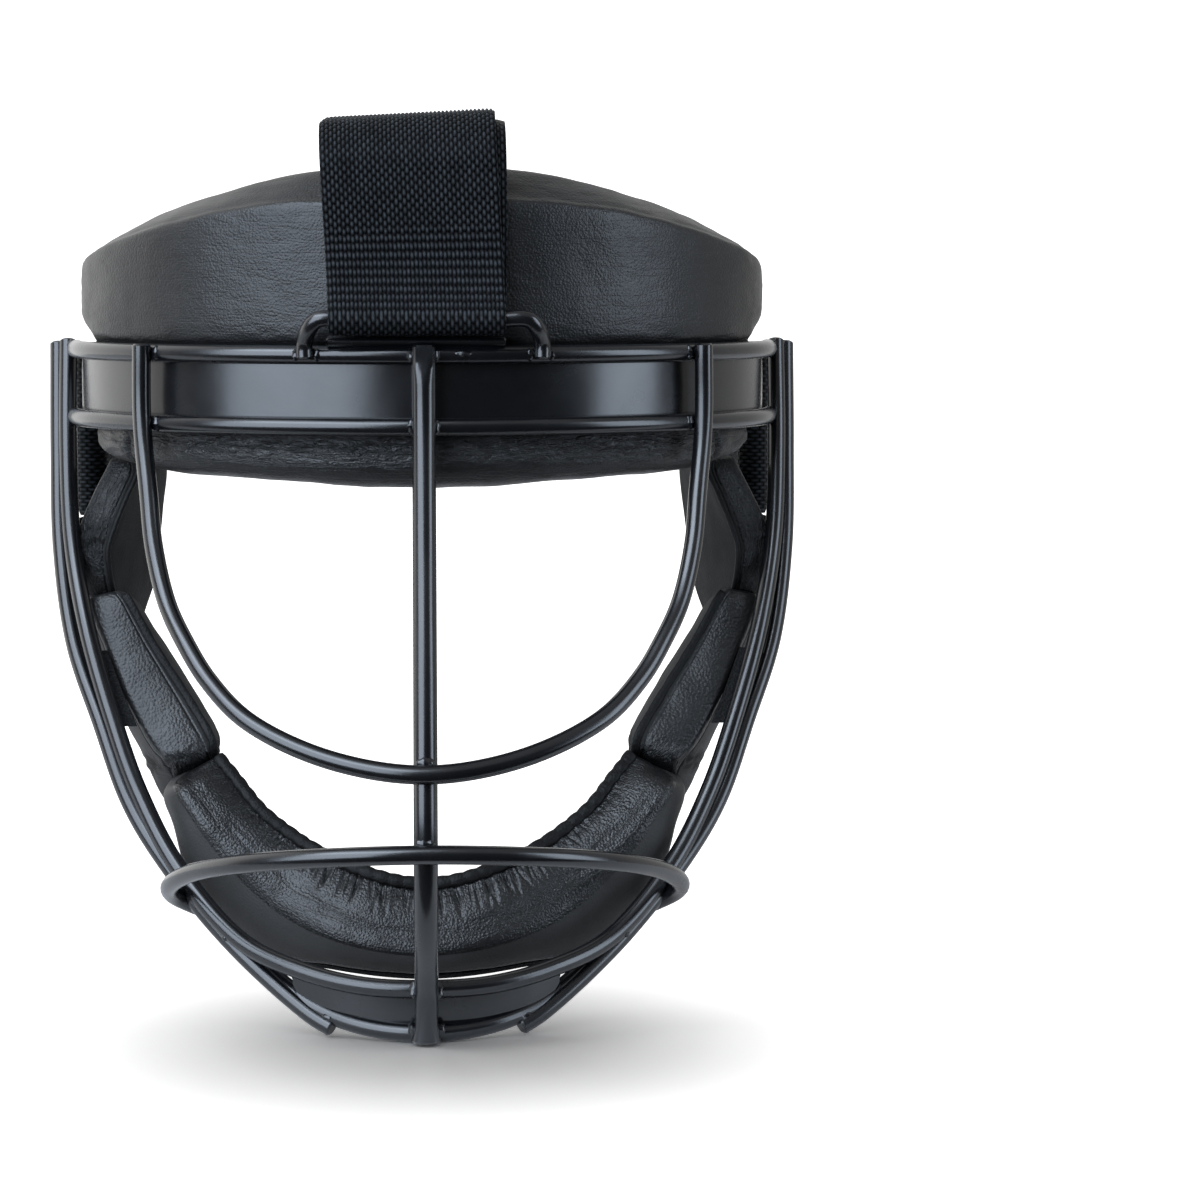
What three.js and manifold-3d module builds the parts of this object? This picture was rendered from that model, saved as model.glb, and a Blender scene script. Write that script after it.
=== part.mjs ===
// Field hockey face mask: a welded wire cage, leather-covered foam pads inside it, and webbing straps.
// Millimetres. +Z is up, -Y is the front of the mask and +X is the wearer's left.
// The origin is on the brow pad's inner face, where the forehead sits,
// level with the middle of the brow plate.

import * as THREE from 'three';
import { mergeVertices } from 'three/addons/utils/BufferGeometryUtils.js';
import Module from 'manifold-3d';

const wasm = await Module();
wasm.setup();

// Steel rods of the cage
const rodRadius = 2.5;
const barRadius = 3.1;
const bailRadius = 2.0;
const rodSides = 8;
const bendStep = 7;
const longStep = 9;
const weldBite = 0.9;

// Brow rails: half an ellipse in plan, with a sheet plate behind them
const browHalfWidth = 102.4;
const browDepth = 93;
const browFront = -27;
const railHeight = 9.8;
const plateThickness = 1.5;
const browPlateHeight = 20;
const browPlateInset = 2;
const browPlateEnd = 84;
const browSteps = 30;

// Pads: how far their sections' corners are rounded and their walls swell
const seatGap = 0.35;
const padInset = browPlateInset + plateThickness / 2 + seatGap;
const padThickness = -browFront - padInset;
const templeForm = { round: 0.16, swell: 0.5 };
const cheekForm = { round: 0.2, swell: 0.8 };
const chinForm = { round: 0.18, swell: 0.8 };

// Folds of the chin pad's front wall, gathered by its hem: how far each point of that wall moves with a fold
const gather = { cutsPerRow: 4, depth: 0.9, fade: 8, wall: [{ point: 2, move: 0.8 }, { point: 3, move: 1 }] };

// Webbing
const webWidth = 48;
const webThickness = 2;
const webGap = 0.5;
const tapeThickness = 1.5;
const bandCuts = 3;

// Finishes
const coat = { color: 0x14161a, roughness: 0.32, metalness: 0.2 };
const leather = { color: 0x1c1c1d, roughness: 0.55, metalness: 0 };
const webbing = { color: 0x111316, roughness: 0.85, metalness: 0 };
const hookTape = { color: 0x0b0b0c, roughness: 0.95, metalness: 0 };

const diagonal = Math.SQRT1_2;
const vector = (x, y, z) => new THREE.Vector3(x, y, z);
const degrees = THREE.MathUtils.degToRad;
const mirrored = (point) => vector(-point.x, point.y, point.z);

// Rows for the wearer's left half, from the middle outwards or from the side inwards.

const centreBarRows = [
  { x: 0, y: -31.7, z: 12.6 },
  { x: 0, y: -31.8, z: -9 },
  { x: 0, y: -40, z: -40 },
  { x: 0, y: -52, z: -75 },
  { x: 0, y: -57.8, z: -100 },
  { x: 0, y: -59.2, z: -121.5 },
  { x: 0, y: -53, z: -143 },
  { x: 0, y: -41, z: -158 },
  { x: 0, y: -36, z: -165.5 },
  { x: 0, y: -34.8, z: -178 },
];

const eyeLoopAngle = 47.4;
const eyeLoopRows = [
  { x: 76.3, y: -7, z: -29 },
  { x: 74.6, y: -13, z: -43 },
  { x: 70.6, y: -21, z: -58 },
  { x: 65.3, y: -29, z: -68 },
  { x: 58.4, y: -36.5, z: -78 },
  { x: 47.2, y: -46, z: -88 },
  { x: 25, y: -57, z: -97 },
  { x: 0, y: -62.4, z: -100.3 },
];

const mouthHoopRows = [
  { x: 64.6, y: 6.4, z: -147.2 },
  { x: 70.4, y: 2.2, z: -143.6 },
  { x: 71.8, y: -6, z: -139.6 },
  { x: 65, y: -24, z: -132.6 },
  { x: 50, y: -45, z: -126.6 },
  { x: 24, y: -60.6, z: -122.5 },
  { x: 0, y: -63.8, z: -121.5 },
];

const sideBarRows = [
  { x: 108, y: 68.4, z: 11.5 },
  { x: 107.4, y: 59, z: -20 },
  { x: 106.2, y: 50, z: -48 },
  { x: 101.7, y: 39, z: -75 },
  { x: 93.3, y: 28, z: -97 },
  { x: 84.4, y: 18, z: -119 },
  { x: 73.7, y: 9.5, z: -135 },
  { x: 54.3, y: -4.4, z: -156 },
  { x: 32.4, y: -18.6, z: -173.2 },
  { x: 26, y: -22, z: -176.6 },
];

const jawLoopRows = [
  { x: 104.9, y: 65, z: 12.3 },
  { x: 104.4, y: 55, z: -18 },
  { x: 102.6, y: 46, z: -46 },
  { x: 97.6, y: 34, z: -70 },
  { x: 89.4, y: 23.5, z: -96 },
  { x: 81.6, y: 15.8, z: -116 },
  { x: 70, y: 5.5, z: -136 },
  { x: 51.7, y: -8, z: -154.6 },
  { x: 34, y: -20, z: -161 },
  { x: 17, y: -28.6, z: -163.6 },
  { x: 0, y: -31.5, z: -164 },
];

const chinRodRows = [
  { x: 51, y: -4.6, z: -157.5 },
  { x: 39, y: -12.6, z: -166.8 },
  { x: 28, y: -19.8, z: -172.6 },
  { x: 15, y: -27, z: -175.6 },
  { x: 0, y: -30.5, z: -176.4 },
];

const chinPlateRows = [
  { x: 37, y: -15.8, low: -166.4, high: -163 },
  { x: 35, y: -17.2, low: -169, high: -161.2 },
  { x: 28, y: -21.4, low: -172, high: -161.8 },
  { x: 15, y: -26.8, low: -174.2, high: -163.4 },
  { x: 0, y: -28.6, low: -175, high: -164 },
];

// The strap bail's feet stand on the upper rail at this angle, and its crossbar bows forwards.
const strapBail = {
  angle: 17.8,
  halfTop: 28.4,
  foot: 8.6,
  shoulder: 13,
  top: 19.5,
  bow: 1.2,
  bend: 2.4,
  back: 1.6,
};

// Each side bail has a straight upright that the back strap turns round.
const sideBail = { x: 99.4, y: 77, middle: -13.3 };
const sideBailRows = [
  { x: 106.3, y: 53.2, z: -42.2 },
  { x: 102.4, y: 68, z: -42.6 },
  { x: 100, y: 75.4, z: -41.4 },
  { x: sideBail.x, y: sideBail.y, z: -38.8 },
  { x: sideBail.x, y: sideBail.y, z: -30.8 },
  { x: sideBail.x, y: sideBail.y, z: 4.2 },
  { x: sideBail.x, y: sideBail.y, z: 12.2 },
  { x: 100.6, y: 76.4, z: 14.4 },
  { x: 103.6, y: 73.4, z: 13.8 },
  { x: 107.4, y: 68.8, z: 9.8 },
];

// One row for each section of the brow pad, by its angle round the brow.
// The roll below the plate stops short of the ends.
const browPadRows = [
  { angle: 0, top: 61.5, crease: 52.5, bottom: -27.2, full: 1 },
  { angle: 11, top: 61.2, crease: 52.3, bottom: -27, full: 1 },
  { angle: 22, top: 59.6, crease: 51.6, bottom: -26, full: 1 },
  { angle: 33, top: 56.4, crease: 49.4, bottom: -25.2, full: 1 },
  { angle: 43, top: 53, crease: 46.4, bottom: -24.8, full: 1 },
  { angle: 52, top: 50.2, crease: 43.6, bottom: -24.2, full: 1 },
  { angle: 59, top: 48, crease: 41.4, bottom: -22.6, full: 1 },
  { angle: 65, top: 46, crease: 39.6, bottom: -17.2, full: 1 },
  { angle: 72, top: 43.6, crease: 37.6, bottom: -11.6, full: 0.98 },
  { angle: 79, top: 41, crease: 35.4, bottom: -10.4, full: 0.88 },
  { angle: 84, top: 36, crease: 31, bottom: -9.4, full: 0.6 },
];

// Corners of each pad's sections, in order round the section.
const templePadRows = [
  {
    outer: [92, 51, -22], inner: [84.5, 49, -22],
    innerBack: [79.4, 86, -22.6], outerBack: [87, 87, -22.6],
  },
  {
    outer: [95.4, 49.6, -25], inner: [83.2, 46, -25.4],
    innerBack: [77.3, 90.6, -26.4], outerBack: [88.4, 91, -26.4],
  },
  {
    outer: [99.6, 48.6, -33], inner: [86.2, 44.4, -32.9],
    innerBack: [77.8, 90, -35], outerBack: [90, 90.6, -35],
  },
  {
    outer: [101.2, 47.6, -41], inner: [89.4, 42.6, -41],
    innerBack: [78.5, 87.4, -43], outerBack: [91, 88, -43],
  },
  {
    outer: [101, 46.6, -49], inner: [91.6, 41.6, -48.5],
    innerBack: [79.2, 84, -51], outerBack: [91.6, 85, -51],
  },
  {
    outer: [98.8, 45.8, -56], inner: [91, 41.6, -55.6],
    innerBack: [80.8, 79.4, -59], outerBack: [91.6, 80.6, -59],
  },
  {
    outer: [95, 47.4, -61.2], inner: [89.6, 44.4, -59.8],
    innerBack: [83.4, 74, -63.6], outerBack: [91, 75, -63.6],
  },
];

const cheekPadRows = [
  {
    outer: [95.4, 42, -61.6], inner: [88.8, 42, -59.8],
    innerBack: [87.8, 62, -64.4], outerBack: [93.4, 61, -66],
  },
  {
    outer: [95.6, 39.6, -65.5], inner: [85.8, 38.8, -61.6],
    innerBack: [84.6, 64.4, -66], outerBack: [94.4, 62, -69],
  },
  {
    outer: [91.4, 33.4, -77.6], inner: [79.2, 35, -73.6],
    innerBack: [78.2, 61, -75.4], outerBack: [91, 58, -79],
  },
  {
    outer: [84.5, 27, -92.3], inner: [67.4, 27, -90.8],
    innerBack: [66.6, 53, -92.2], outerBack: [83.5, 51, -94],
  },
  {
    outer: [76.6, 21.4, -104.6], inner: [60.6, 21.6, -102.2],
    innerBack: [60.4, 47, -103], outerBack: [76, 45, -105.4],
  },
  {
    outer: [72.6, 20.6, -108.2], inner: [60.4, 23, -104.8],
    innerBack: [61.4, 44, -105], outerBack: [72.4, 43, -108],
  },
];

// The chin pad's corners: hem on the face side, seam in front, base towards the rods, heel behind.
const chinPadRows = [
  { hem: [58.4, 20, -107.6], seam: [69, 13.4, -112.6], base: [76.6, 22, -112.2], heel: [66.4, 33, -107.2] },
  { hem: [55, 15.4, -109], seam: [70.7, 8, -114], base: [81.6, 20.8, -114.6], heel: [63.4, 36, -109] },
  { hem: [46.9, 11, -114.4], seam: [63.6, 4.6, -122.4], base: [76.5, 15.3, -124.7], heel: [58, 33, -117] },
  { hem: [37, 6, -124.4], seam: [55.5, 1, -131], base: [68.3, 10.2, -135.6], heel: [51, 27, -128] },
  { hem: [27, 1, -130.2], seam: [41.6, -5, -143.4], base: [49.6, 3.6, -149.4], heel: [40, 20, -141] },
  { hem: [14, -4.2, -135.8], seam: [23.5, -14, -152.6], base: [27, -7.4, -158.6], heel: [21, 11.6, -153] },
  { hem: [0, -5, -138.2], seam: [0, -16.6, -156.4], base: [0, -11.6, -162], heel: [0, 9, -158] },
];

const cheekTapeWidth = 5.2;
const cheekTapeRows = [
  { x: 91.8, y: 34.6, z: -77 },
  { x: 87.4, y: 30, z: -88 },
  { x: 83, y: 26, z: -98 },
];
const chinTape = { start: 16, step: 2, from: 0.12, to: 0.7, lift: 0.8 };

// Side view of the top strap: its short end lies behind, it turns round the bail,
// then runs over the head.
const bailTurn = bailRadius + webGap + webThickness / 2;
const bailY = browFront - rodRadius - bailRadius + weldBite - strapBail.bow;
const topStrapRows = [
  { x: -1.2, y: -26.9, z: 64 },
  { x: -1.2, y: -27, z: 40 },
  { x: -1.4, y: -27.2, z: 28 },
  { x: -1.6, y: bailY + bailTurn, z: strapBail.top },
  { x: -1.7, y: bailY + bailTurn * diagonal, z: strapBail.top - bailTurn * diagonal },
  { x: -1.7, y: bailY, z: strapBail.top - bailTurn },
  { x: -1.7, y: bailY - bailTurn * diagonal, z: strapBail.top - bailTurn * diagonal },
  { x: -1.7, y: bailY - bailTurn, z: strapBail.top },
  { x: -2, y: -32, z: 27 },
  { x: -2.5, y: -29.7, z: 38 },
  { x: -3.5, y: -29.5, z: 56 },
  { x: -4, y: -28, z: 66 },
  { x: -4.2, y: -21, z: 72.6 },
  { x: -4, y: -6, z: 74.6 },
  { x: -3, y: 40, z: 75.6 },
  { x: -1.5, y: 90, z: 70 },
  { x: -0.5, y: 130, z: 55 },
  { x: 0, y: 156, z: 32 },
  { x: 0, y: 165.6, z: 4 },
  { x: 0, y: 166.2, z: -14 },
];

// Plan of the back strap: its short end lies inside, it turns round the side bail,
// then runs round the head.
const backStrapRows = [
  { x: 96.4, y: 112, z: -10 },
  { x: 96.8, y: 92, z: -12 },
  { x: sideBail.x - bailTurn, y: sideBail.y, z: sideBail.middle },
  { x: sideBail.x - bailTurn * diagonal, y: sideBail.y - bailTurn * diagonal, z: sideBail.middle },
  { x: sideBail.x, y: sideBail.y - bailTurn, z: sideBail.middle },
  { x: sideBail.x + bailTurn * diagonal, y: sideBail.y - bailTurn * diagonal, z: sideBail.middle },
  { x: sideBail.x + bailTurn, y: sideBail.y, z: sideBail.middle },
  { x: 99.8, y: 92, z: -12 },
  { x: 99, y: 112, z: -10 },
  { x: 88, y: 136, z: -6 },
  { x: 62, y: 158, z: -2.5 },
  { x: 30, y: 168, z: -0.6 },
  { x: 0, y: 170, z: 0 },
];

// A closed solid through rings of points, with its faces turned outwards.
function loft(rings) {
  const count = rings[0].length;
  const corners = rings.flat();
  const triangles = [];
  for (let ring = 0; ring + 1 < rings.length; ring += 1) {
    for (let side = 0; side < count; side += 1) {
      const here = ring * count + side;
      const next = ring * count + ((side + 1) % count);
      triangles.push(here, next, next + count, here, next + count, here + count);
    }
  }
  const last = (rings.length - 1) * count;
  for (const [start, flip] of [[0, true], [last, false]]) {
    const middle = corners.length;
    const centre = vector(0, 0, 0);
    for (let side = 0; side < count; side += 1) centre.add(corners[start + side]);
    corners.push(centre.divideScalar(count));
    for (let side = 0; side < count; side += 1) {
      const pair = [start + side, start + ((side + 1) % count)];
      if (flip) pair.reverse();
      triangles.push(middle, ...pair);
    }
  }
  let volume = 0;
  for (let i = 0; i < triangles.length; i += 3) {
    const [a, b, c] = [0, 1, 2].map((k) => corners[triangles[i + k]]);
    volume += a.dot(vector(0, 0, 0).crossVectors(b, c));
  }
  const geometry = new THREE.BufferGeometry().setFromPoints(corners);
  geometry.setIndex(volume < 0 ? triangles.reverse() : triangles);
  geometry.computeVertexNormals();
  return geometry;
}

const points = (rows) => rows.map((row) => vector(row.x, row.y, row.z));

// The whole of a symmetric curve, from rows that end on the middle plane.
function bothHalves(half) {
  const other = half.slice(0, -1).map(mirrored);
  return [...half, ...other.reverse()];
}

function rod(path, radius, step) {
  const curve = new THREE.CatmullRomCurve3(path);
  const section = new THREE.Shape();
  for (let side = 0; side < rodSides; side += 1) {
    const turn = (2 * Math.PI * side) / rodSides;
    const [x, y] = [radius * Math.cos(turn), radius * Math.sin(turn)];
    if (side === 0) section.moveTo(x, y);
    else section.lineTo(x, y);
  }
  const steps = Math.ceil(curve.getLength() / step);
  return new THREE.ExtrudeGeometry(section, { steps, bevelEnabled: false, extrudePath: curve });
}

// A point on the brow curve, moved inwards from the rails' centre line.
function browPoint(angle, inward, z) {
  const turn = degrees(angle);
  const along = new THREE.Vector2(browHalfWidth * Math.cos(turn), browDepth * Math.sin(turn)).normalize();
  const x = browHalfWidth * Math.sin(turn) - along.y * inward;
  const y = browFront + browDepth * (1 - Math.cos(turn)) + along.x * inward;
  return vector(x, y, z);
}

function browRail(z) {
  const path = [];
  for (let step = 0; step <= browSteps; step += 1) {
    path.push(browPoint(-90 + (180 * step) / browSteps, 0, z));
  }
  return rod(path, rodRadius, longStep);
}

function browPlate() {
  const rings = [];
  const half = browPlateHeight / 2;
  for (let step = 0; step <= browSteps; step += 1) {
    const angle = browPlateEnd * ((2 * step) / browSteps - 1);
    rings.push([
      browPoint(angle, browPlateInset - plateThickness / 2, -half),
      browPoint(angle, browPlateInset - plateThickness / 2, half),
      browPoint(angle, browPlateInset + plateThickness / 2, half),
      browPoint(angle, browPlateInset + plateThickness / 2, -half),
    ]);
  }
  return loft(rings);
}

function chinPlate() {
  const half = chinPlateRows.map((row) => [
    vector(row.x, row.y - plateThickness / 2, row.low),
    vector(row.x, row.y - plateThickness / 2, row.high),
    vector(row.x, row.y + plateThickness / 2, row.high),
    vector(row.x, row.y + plateThickness / 2, row.low),
  ]);
  const other = half.slice(0, -1).map((ring) => ring.map(mirrored));
  return loft([...half, ...other.reverse()]);
}

function eyeLoop() {
  const offset = weldBite - 2 * rodRadius;
  const top = [
    browPoint(eyeLoopAngle, offset, railHeight + rodRadius),
    browPoint(eyeLoopAngle, offset, -railHeight),
  ];
  return rod(bothHalves([...top, ...points(eyeLoopRows)]), rodRadius, bendStep);
}

function frontBail() {
  const { angle, halfTop, foot, shoulder, top, bend, back } = strapBail;
  const offset = weldBite - rodRadius - bailRadius;
  return rod(bothHalves([
    browPoint(angle, offset, foot),
    browPoint(angle, offset, shoulder),
    vector(halfTop + bend, bailY + back, top - bend),
    vector(halfTop, bailY, top),
    vector(halfTop * diagonal, bailY, top),
    vector(0, bailY, top),
  ]), bailRadius, bendStep);
}

// One welded solid from several that overlap where they are welded.
function welded(geometries) {
  let whole = null;
  for (const geometry of geometries) {
    geometry.deleteAttribute('normal');
    geometry.deleteAttribute('uv');
    const merged = mergeVertices(geometry, 1e-4);
    const solid = new wasm.Manifold(new wasm.Mesh({
      numProp: 3,
      vertProperties: new Float32Array(merged.attributes.position.array),
      triVerts: new Uint32Array(merged.index.array),
    }));
    whole = whole ? whole.add(solid) : solid;
  }
  const mesh = whole.getMesh();
  const geometry = new THREE.BufferGeometry();
  geometry.setAttribute('position', new THREE.BufferAttribute(mesh.vertProperties, 3));
  geometry.setIndex(new THREE.BufferAttribute(mesh.triVerts, 1));
  geometry.computeVertexNormals();
  return geometry;
}

function cage() {
  const sideBar = points(sideBarRows);
  const backBail = points(sideBailRows);
  return welded([
    browRail(railHeight),
    browRail(-railHeight),
    browPlate(),
    rod(points(centreBarRows), barRadius, longStep),
    eyeLoop(),
    rod(bothHalves(points(mouthHoopRows)), rodRadius, bendStep),
    rod(bothHalves(points(jawLoopRows)), rodRadius, longStep),
    rod(sideBar, rodRadius, longStep),
    rod(sideBar.map(mirrored), rodRadius, longStep),
    rod(bothHalves(points(chinRodRows)), rodRadius, bendStep),
    chinPlate(),
    frontBail(),
    rod(backBail, bailRadius, bendStep),
    rod(backBail.map(mirrored), bailRadius, bendStep),
  ]);
}

// The brow pad's section, from its lowest point up the outer face, over the top and down the inner face.
// Each row's depth is a share of the pad's thickness, and z is its height.
function browPadRing({ top, crease, bottom, full }, angle) {
  const plateEdge = railHeight + rodRadius;
  const hasRoll = bottom < -plateEdge - 4;
  const rollTop = Math.max(-plateEdge + 2, bottom + 4);
  const profile = [
    { depth: 0.45, z: bottom },
    { depth: 0.14, z: bottom + 1.4 },
    { depth: hasRoll ? -0.02 : 0.02, z: (bottom + rollTop) / 2 - 2 },
    { depth: 0, z: rollTop },
    { depth: 0, z: plateEdge },
    { depth: -0.06, z: plateEdge + 5 },
    { depth: -0.06, z: (plateEdge + crease) / 2 },
    { depth: 0.02, z: crease },
    { depth: 0.25, z: top - 1.6 },
    { depth: 0.48, z: top },
    { depth: 0.76, z: top - 1.8 },
    { depth: 0.95, z: top - 8 },
    { depth: 1, z: top - 18 },
    { depth: 1, z: 0 },
    { depth: 0.97, z: bottom + 10 },
    { depth: 0.8, z: bottom + 2.4 },
  ];
  return profile.map(({ depth, z }) => browPoint(angle, padInset + depth * padThickness * full, z));
}

function browPad() {
  const left = browPadRows.map((row) => browPadRing(row, row.angle));
  const right = browPadRows.slice(1).map((row) => browPadRing(row, -row.angle));
  return loft([...right.reverse(), ...left]);
}

// A section with four corners, rounded, whose sides swell between them.
function roundedRing(corners, round, swell) {
  const centre = vector(0, 0, 0);
  for (const corner of corners) centre.addScaledVector(corner, 1 / corners.length);
  const ring = [];
  corners.forEach((corner, index) => {
    const before = corners[(index + corners.length - 1) % corners.length];
    const after = corners[(index + 1) % corners.length];
    const near = corner.clone().lerp(before, round);
    const far = corner.clone().lerp(after, round);
    const bend = near.clone().add(far).multiplyScalar(0.25).addScaledVector(corner, 0.5);
    const middle = corner.clone().lerp(after, 0.5);
    const outwards = middle.clone().sub(centre).normalize();
    ring.push(near, bend, far, middle.addScaledVector(outwards, swell));
  });
  return ring;
}

const cornerPoints = (row) => Object.values(row).map(([x, y, z]) => vector(x, y, z));

function pad(rows, { round, swell }, side) {
  const rings = rows.map((row) => roundedRing(cornerPoints(row), round, swell));
  return loft(side > 0 ? rings : rings.map((ring) => ring.map(mirrored)));
}

// The corners of the chin pad's sections from end to end, with cuts between the rows.
function chinSections() {
  const half = chinPadRows.map(cornerPoints);
  const other = half.slice(0, -1).map((row) => row.map(mirrored));
  const rows = [...half, ...other.reverse()];
  const curves = rows[0].map((_, corner) => new THREE.CatmullRomCurve3(rows.map((row) => row[corner])));
  const cuts = (rows.length - 1) * gather.cutsPerRow;
  const sections = [];
  for (let cut = 0; cut <= cuts; cut += 1) {
    sections.push(curves.map((curve) => curve.getPoint(cut / cuts)));
  }
  return sections;
}

function chinPad({ round, swell }) {
  const sections = chinSections();
  const last = sections.length - 1;
  return loft(sections.map((corners, cut) => {
    const ring = roundedRing(corners, round, swell);
    const fade = Math.min(1, cut / gather.fade, (last - cut) / gather.fade);
    const fold = gather.depth * fade * (cut % 2 ? -1 : 1);
    const inside = corners[0].clone().lerp(corners[2], 0.5);
    for (const { point, move } of gather.wall) {
      const outwards = ring[point].clone().sub(inside).normalize();
      ring[point].addScaledVector(outwards, fold * move);
    }
    return ring;
  }));
}

// A strip of hook tape between the rods and the cheek pad's outer wall.
function cheekTape(side) {
  const rings = cheekTapeRows.map(({ x, y, z }) => [
    vector(x, y, z),
    vector(x, y + tapeThickness, z),
    vector(x + cheekTapeWidth, y + tapeThickness, z),
    vector(x + cheekTapeWidth, y, z),
  ]);
  return loft(side > 0 ? rings : rings.map((ring) => ring.map(mirrored)));
}

// A strip of hook tape under the chin pad, on the wall between its base and its heel.
function underTape({ swell }) {
  const sections = chinSections();
  const rings = [];
  for (let cut = chinTape.start; cut < sections.length - chinTape.start; cut += chinTape.step) {
    const [hem, , base, heel] = sections[cut];
    const outwards = base.clone().lerp(heel, 0.5).sub(hem);
    const along = heel.clone().sub(base).normalize();
    outwards.addScaledVector(along, -outwards.dot(along)).normalize();
    const near = swell + chinTape.lift;
    const first = base.clone().lerp(heel, chinTape.from);
    const second = base.clone().lerp(heel, chinTape.to);
    rings.push([
      first.clone().addScaledVector(outwards, near),
      first.clone().addScaledVector(outwards, near + tapeThickness),
      second.clone().addScaledVector(outwards, near + tapeThickness),
      second.clone().addScaledVector(outwards, near),
    ]);
  }
  return loft(rings);
}

// A flat band along a path, with its width along one direction.
function band(path, across, width, thickness) {
  const curve = new THREE.CatmullRomCurve3(path);
  const count = (path.length - 1) * bandCuts;
  const rings = [];
  for (let index = 0; index <= count; index += 1) {
    const share = index / count;
    const centre = curve.getPoint(share);
    const normal = curve.getTangent(share).cross(across).normalize();
    const edge = across.clone().multiplyScalar(width / 2);
    const face = normal.multiplyScalar(thickness / 2);
    rings.push([
      centre.clone().add(edge).add(face),
      centre.clone().add(edge).sub(face),
      centre.clone().sub(edge).sub(face),
      centre.clone().sub(edge).add(face),
    ]);
  }
  return loft(rings);
}

const mask = new THREE.Group();

function place(name, geometry, finish) {
  const mesh = new THREE.Mesh(geometry, new THREE.MeshStandardMaterial(finish));
  mesh.name = name;
  mask.add(mesh);
}

place('cage', cage(), coat);
place('brow_pad', browPad(), leather);
place('chin_pad', chinPad(chinForm), leather);
place('chin_tape', underTape(chinForm), hookTape);
for (const [name, side] of [['left', 1], ['right', -1]]) {
  place(`temple_pad_${name}`, pad(templePadRows, templeForm, side), leather);
  place(`cheek_pad_${name}`, pad(cheekPadRows, cheekForm, side), leather);
  place(`cheek_tape_${name}`, cheekTape(side), hookTape);
}
place('top_strap', band(points(topStrapRows), vector(1, 0, 0), webWidth, webThickness), webbing);
const backStrapPath = bothHalves(points(backStrapRows));
place('back_strap', band(backStrapPath, vector(0, 0, 1), webWidth, webThickness), webbing);

export default mask;
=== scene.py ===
import math

import bmesh
import bpy
import numpy as np
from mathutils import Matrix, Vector, noise


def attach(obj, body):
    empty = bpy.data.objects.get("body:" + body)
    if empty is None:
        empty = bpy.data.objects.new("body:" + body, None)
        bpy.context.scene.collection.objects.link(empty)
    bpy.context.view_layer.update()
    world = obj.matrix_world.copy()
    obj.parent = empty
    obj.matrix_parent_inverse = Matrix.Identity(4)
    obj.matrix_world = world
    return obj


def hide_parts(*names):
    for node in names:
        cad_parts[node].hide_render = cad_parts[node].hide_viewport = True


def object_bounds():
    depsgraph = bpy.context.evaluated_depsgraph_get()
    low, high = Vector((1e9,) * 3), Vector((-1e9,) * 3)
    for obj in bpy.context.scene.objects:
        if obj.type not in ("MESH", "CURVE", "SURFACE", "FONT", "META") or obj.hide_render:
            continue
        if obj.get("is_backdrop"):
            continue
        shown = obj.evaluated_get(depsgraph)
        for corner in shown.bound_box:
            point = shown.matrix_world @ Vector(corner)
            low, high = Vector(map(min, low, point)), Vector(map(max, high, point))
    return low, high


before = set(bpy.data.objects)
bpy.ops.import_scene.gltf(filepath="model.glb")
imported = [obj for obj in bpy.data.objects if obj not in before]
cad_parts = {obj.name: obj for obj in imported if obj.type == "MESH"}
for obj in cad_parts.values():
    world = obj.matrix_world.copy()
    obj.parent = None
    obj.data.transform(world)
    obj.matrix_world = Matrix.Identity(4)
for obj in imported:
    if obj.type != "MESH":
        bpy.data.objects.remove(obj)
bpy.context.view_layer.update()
mm = 0.001
scene = bpy.context.scene


# Curves and sections. Everything here is in millimetres.

def unit(v):
    v = np.asarray(v, float)
    return v / np.maximum(np.linalg.norm(v, axis=-1, keepdims=True), 1e-9)


def smoothPath(rows, step=1.0, cuts=None):
    # a centripetal spline through the rows, with points about every step,
    # or with as many cuts as each span is given
    rows = np.asarray(rows, float)
    knots = np.vstack([2 * rows[0] - rows[1], rows, 2 * rows[-1] - rows[-2]])
    out = [rows[0]]
    for k, (p0, p1, p2, p3) in enumerate(zip(knots, knots[1:], knots[2:], knots[3:])):
        d0, d1, d2 = (max(np.linalg.norm(b - a) ** 0.5, 1e-3) for a, b in ((p0, p1), (p1, p2), (p2, p3)))
        m1 = d1 * ((p1 - p0) / d0 - (p2 - p0) / (d0 + d1) + (p2 - p1) / d1)
        m2 = d1 * ((p2 - p1) / d1 - (p3 - p1) / (d1 + d2) + (p3 - p2) / d2)
        count = cuts[k] if cuts else max(1, math.ceil(np.linalg.norm(p2 - p1) / step))
        for s in np.linspace(0, 1, count + 1)[1:]:
            a, b = s * s * (3 - 2 * s), s * (1 - s)
            out.append((1 - a) * p1 + a * p2 + b * ((1 - s) * m1 - s * m2))
    return np.array(out)


def evenPath(rows, count, step=0.4):
    # the same spline, cut into equal lengths
    fine = smoothPath(rows, step)
    along = lengthsAlong(fine)
    at = np.linspace(0, along[-1], count)
    return np.stack([np.interp(at, along, fine[:, k]) for k in range(fine.shape[1])], 1)


def lengthsAlong(path):
    return np.concatenate([[0], np.cumsum(np.linalg.norm(np.diff(path, axis=0), axis=1))])


def mirrored(rows):
    rows = np.array(rows, float)
    rows[..., 0] *= -1
    return rows


def bothHalves(rows):
    # rows that end on the middle plane, carried on to the other side
    rows = np.asarray(rows, float)
    return np.concatenate([rows, mirrored(rows[:-1])[::-1]])


def turnFrames(path):
    # directions across a path that don't twist along it
    ahead = unit(np.gradient(path, axis=0))
    skew = [0.31, 0.17, 0.93]  # along no rod
    side = np.cross(ahead[0], skew)
    sides = []
    for t in ahead:
        side = unit(side - t * side.dot(t))
        sides.append(side)
    sides = np.array(sides)
    return ahead, sides, np.cross(ahead, sides)


# Meshes

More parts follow.
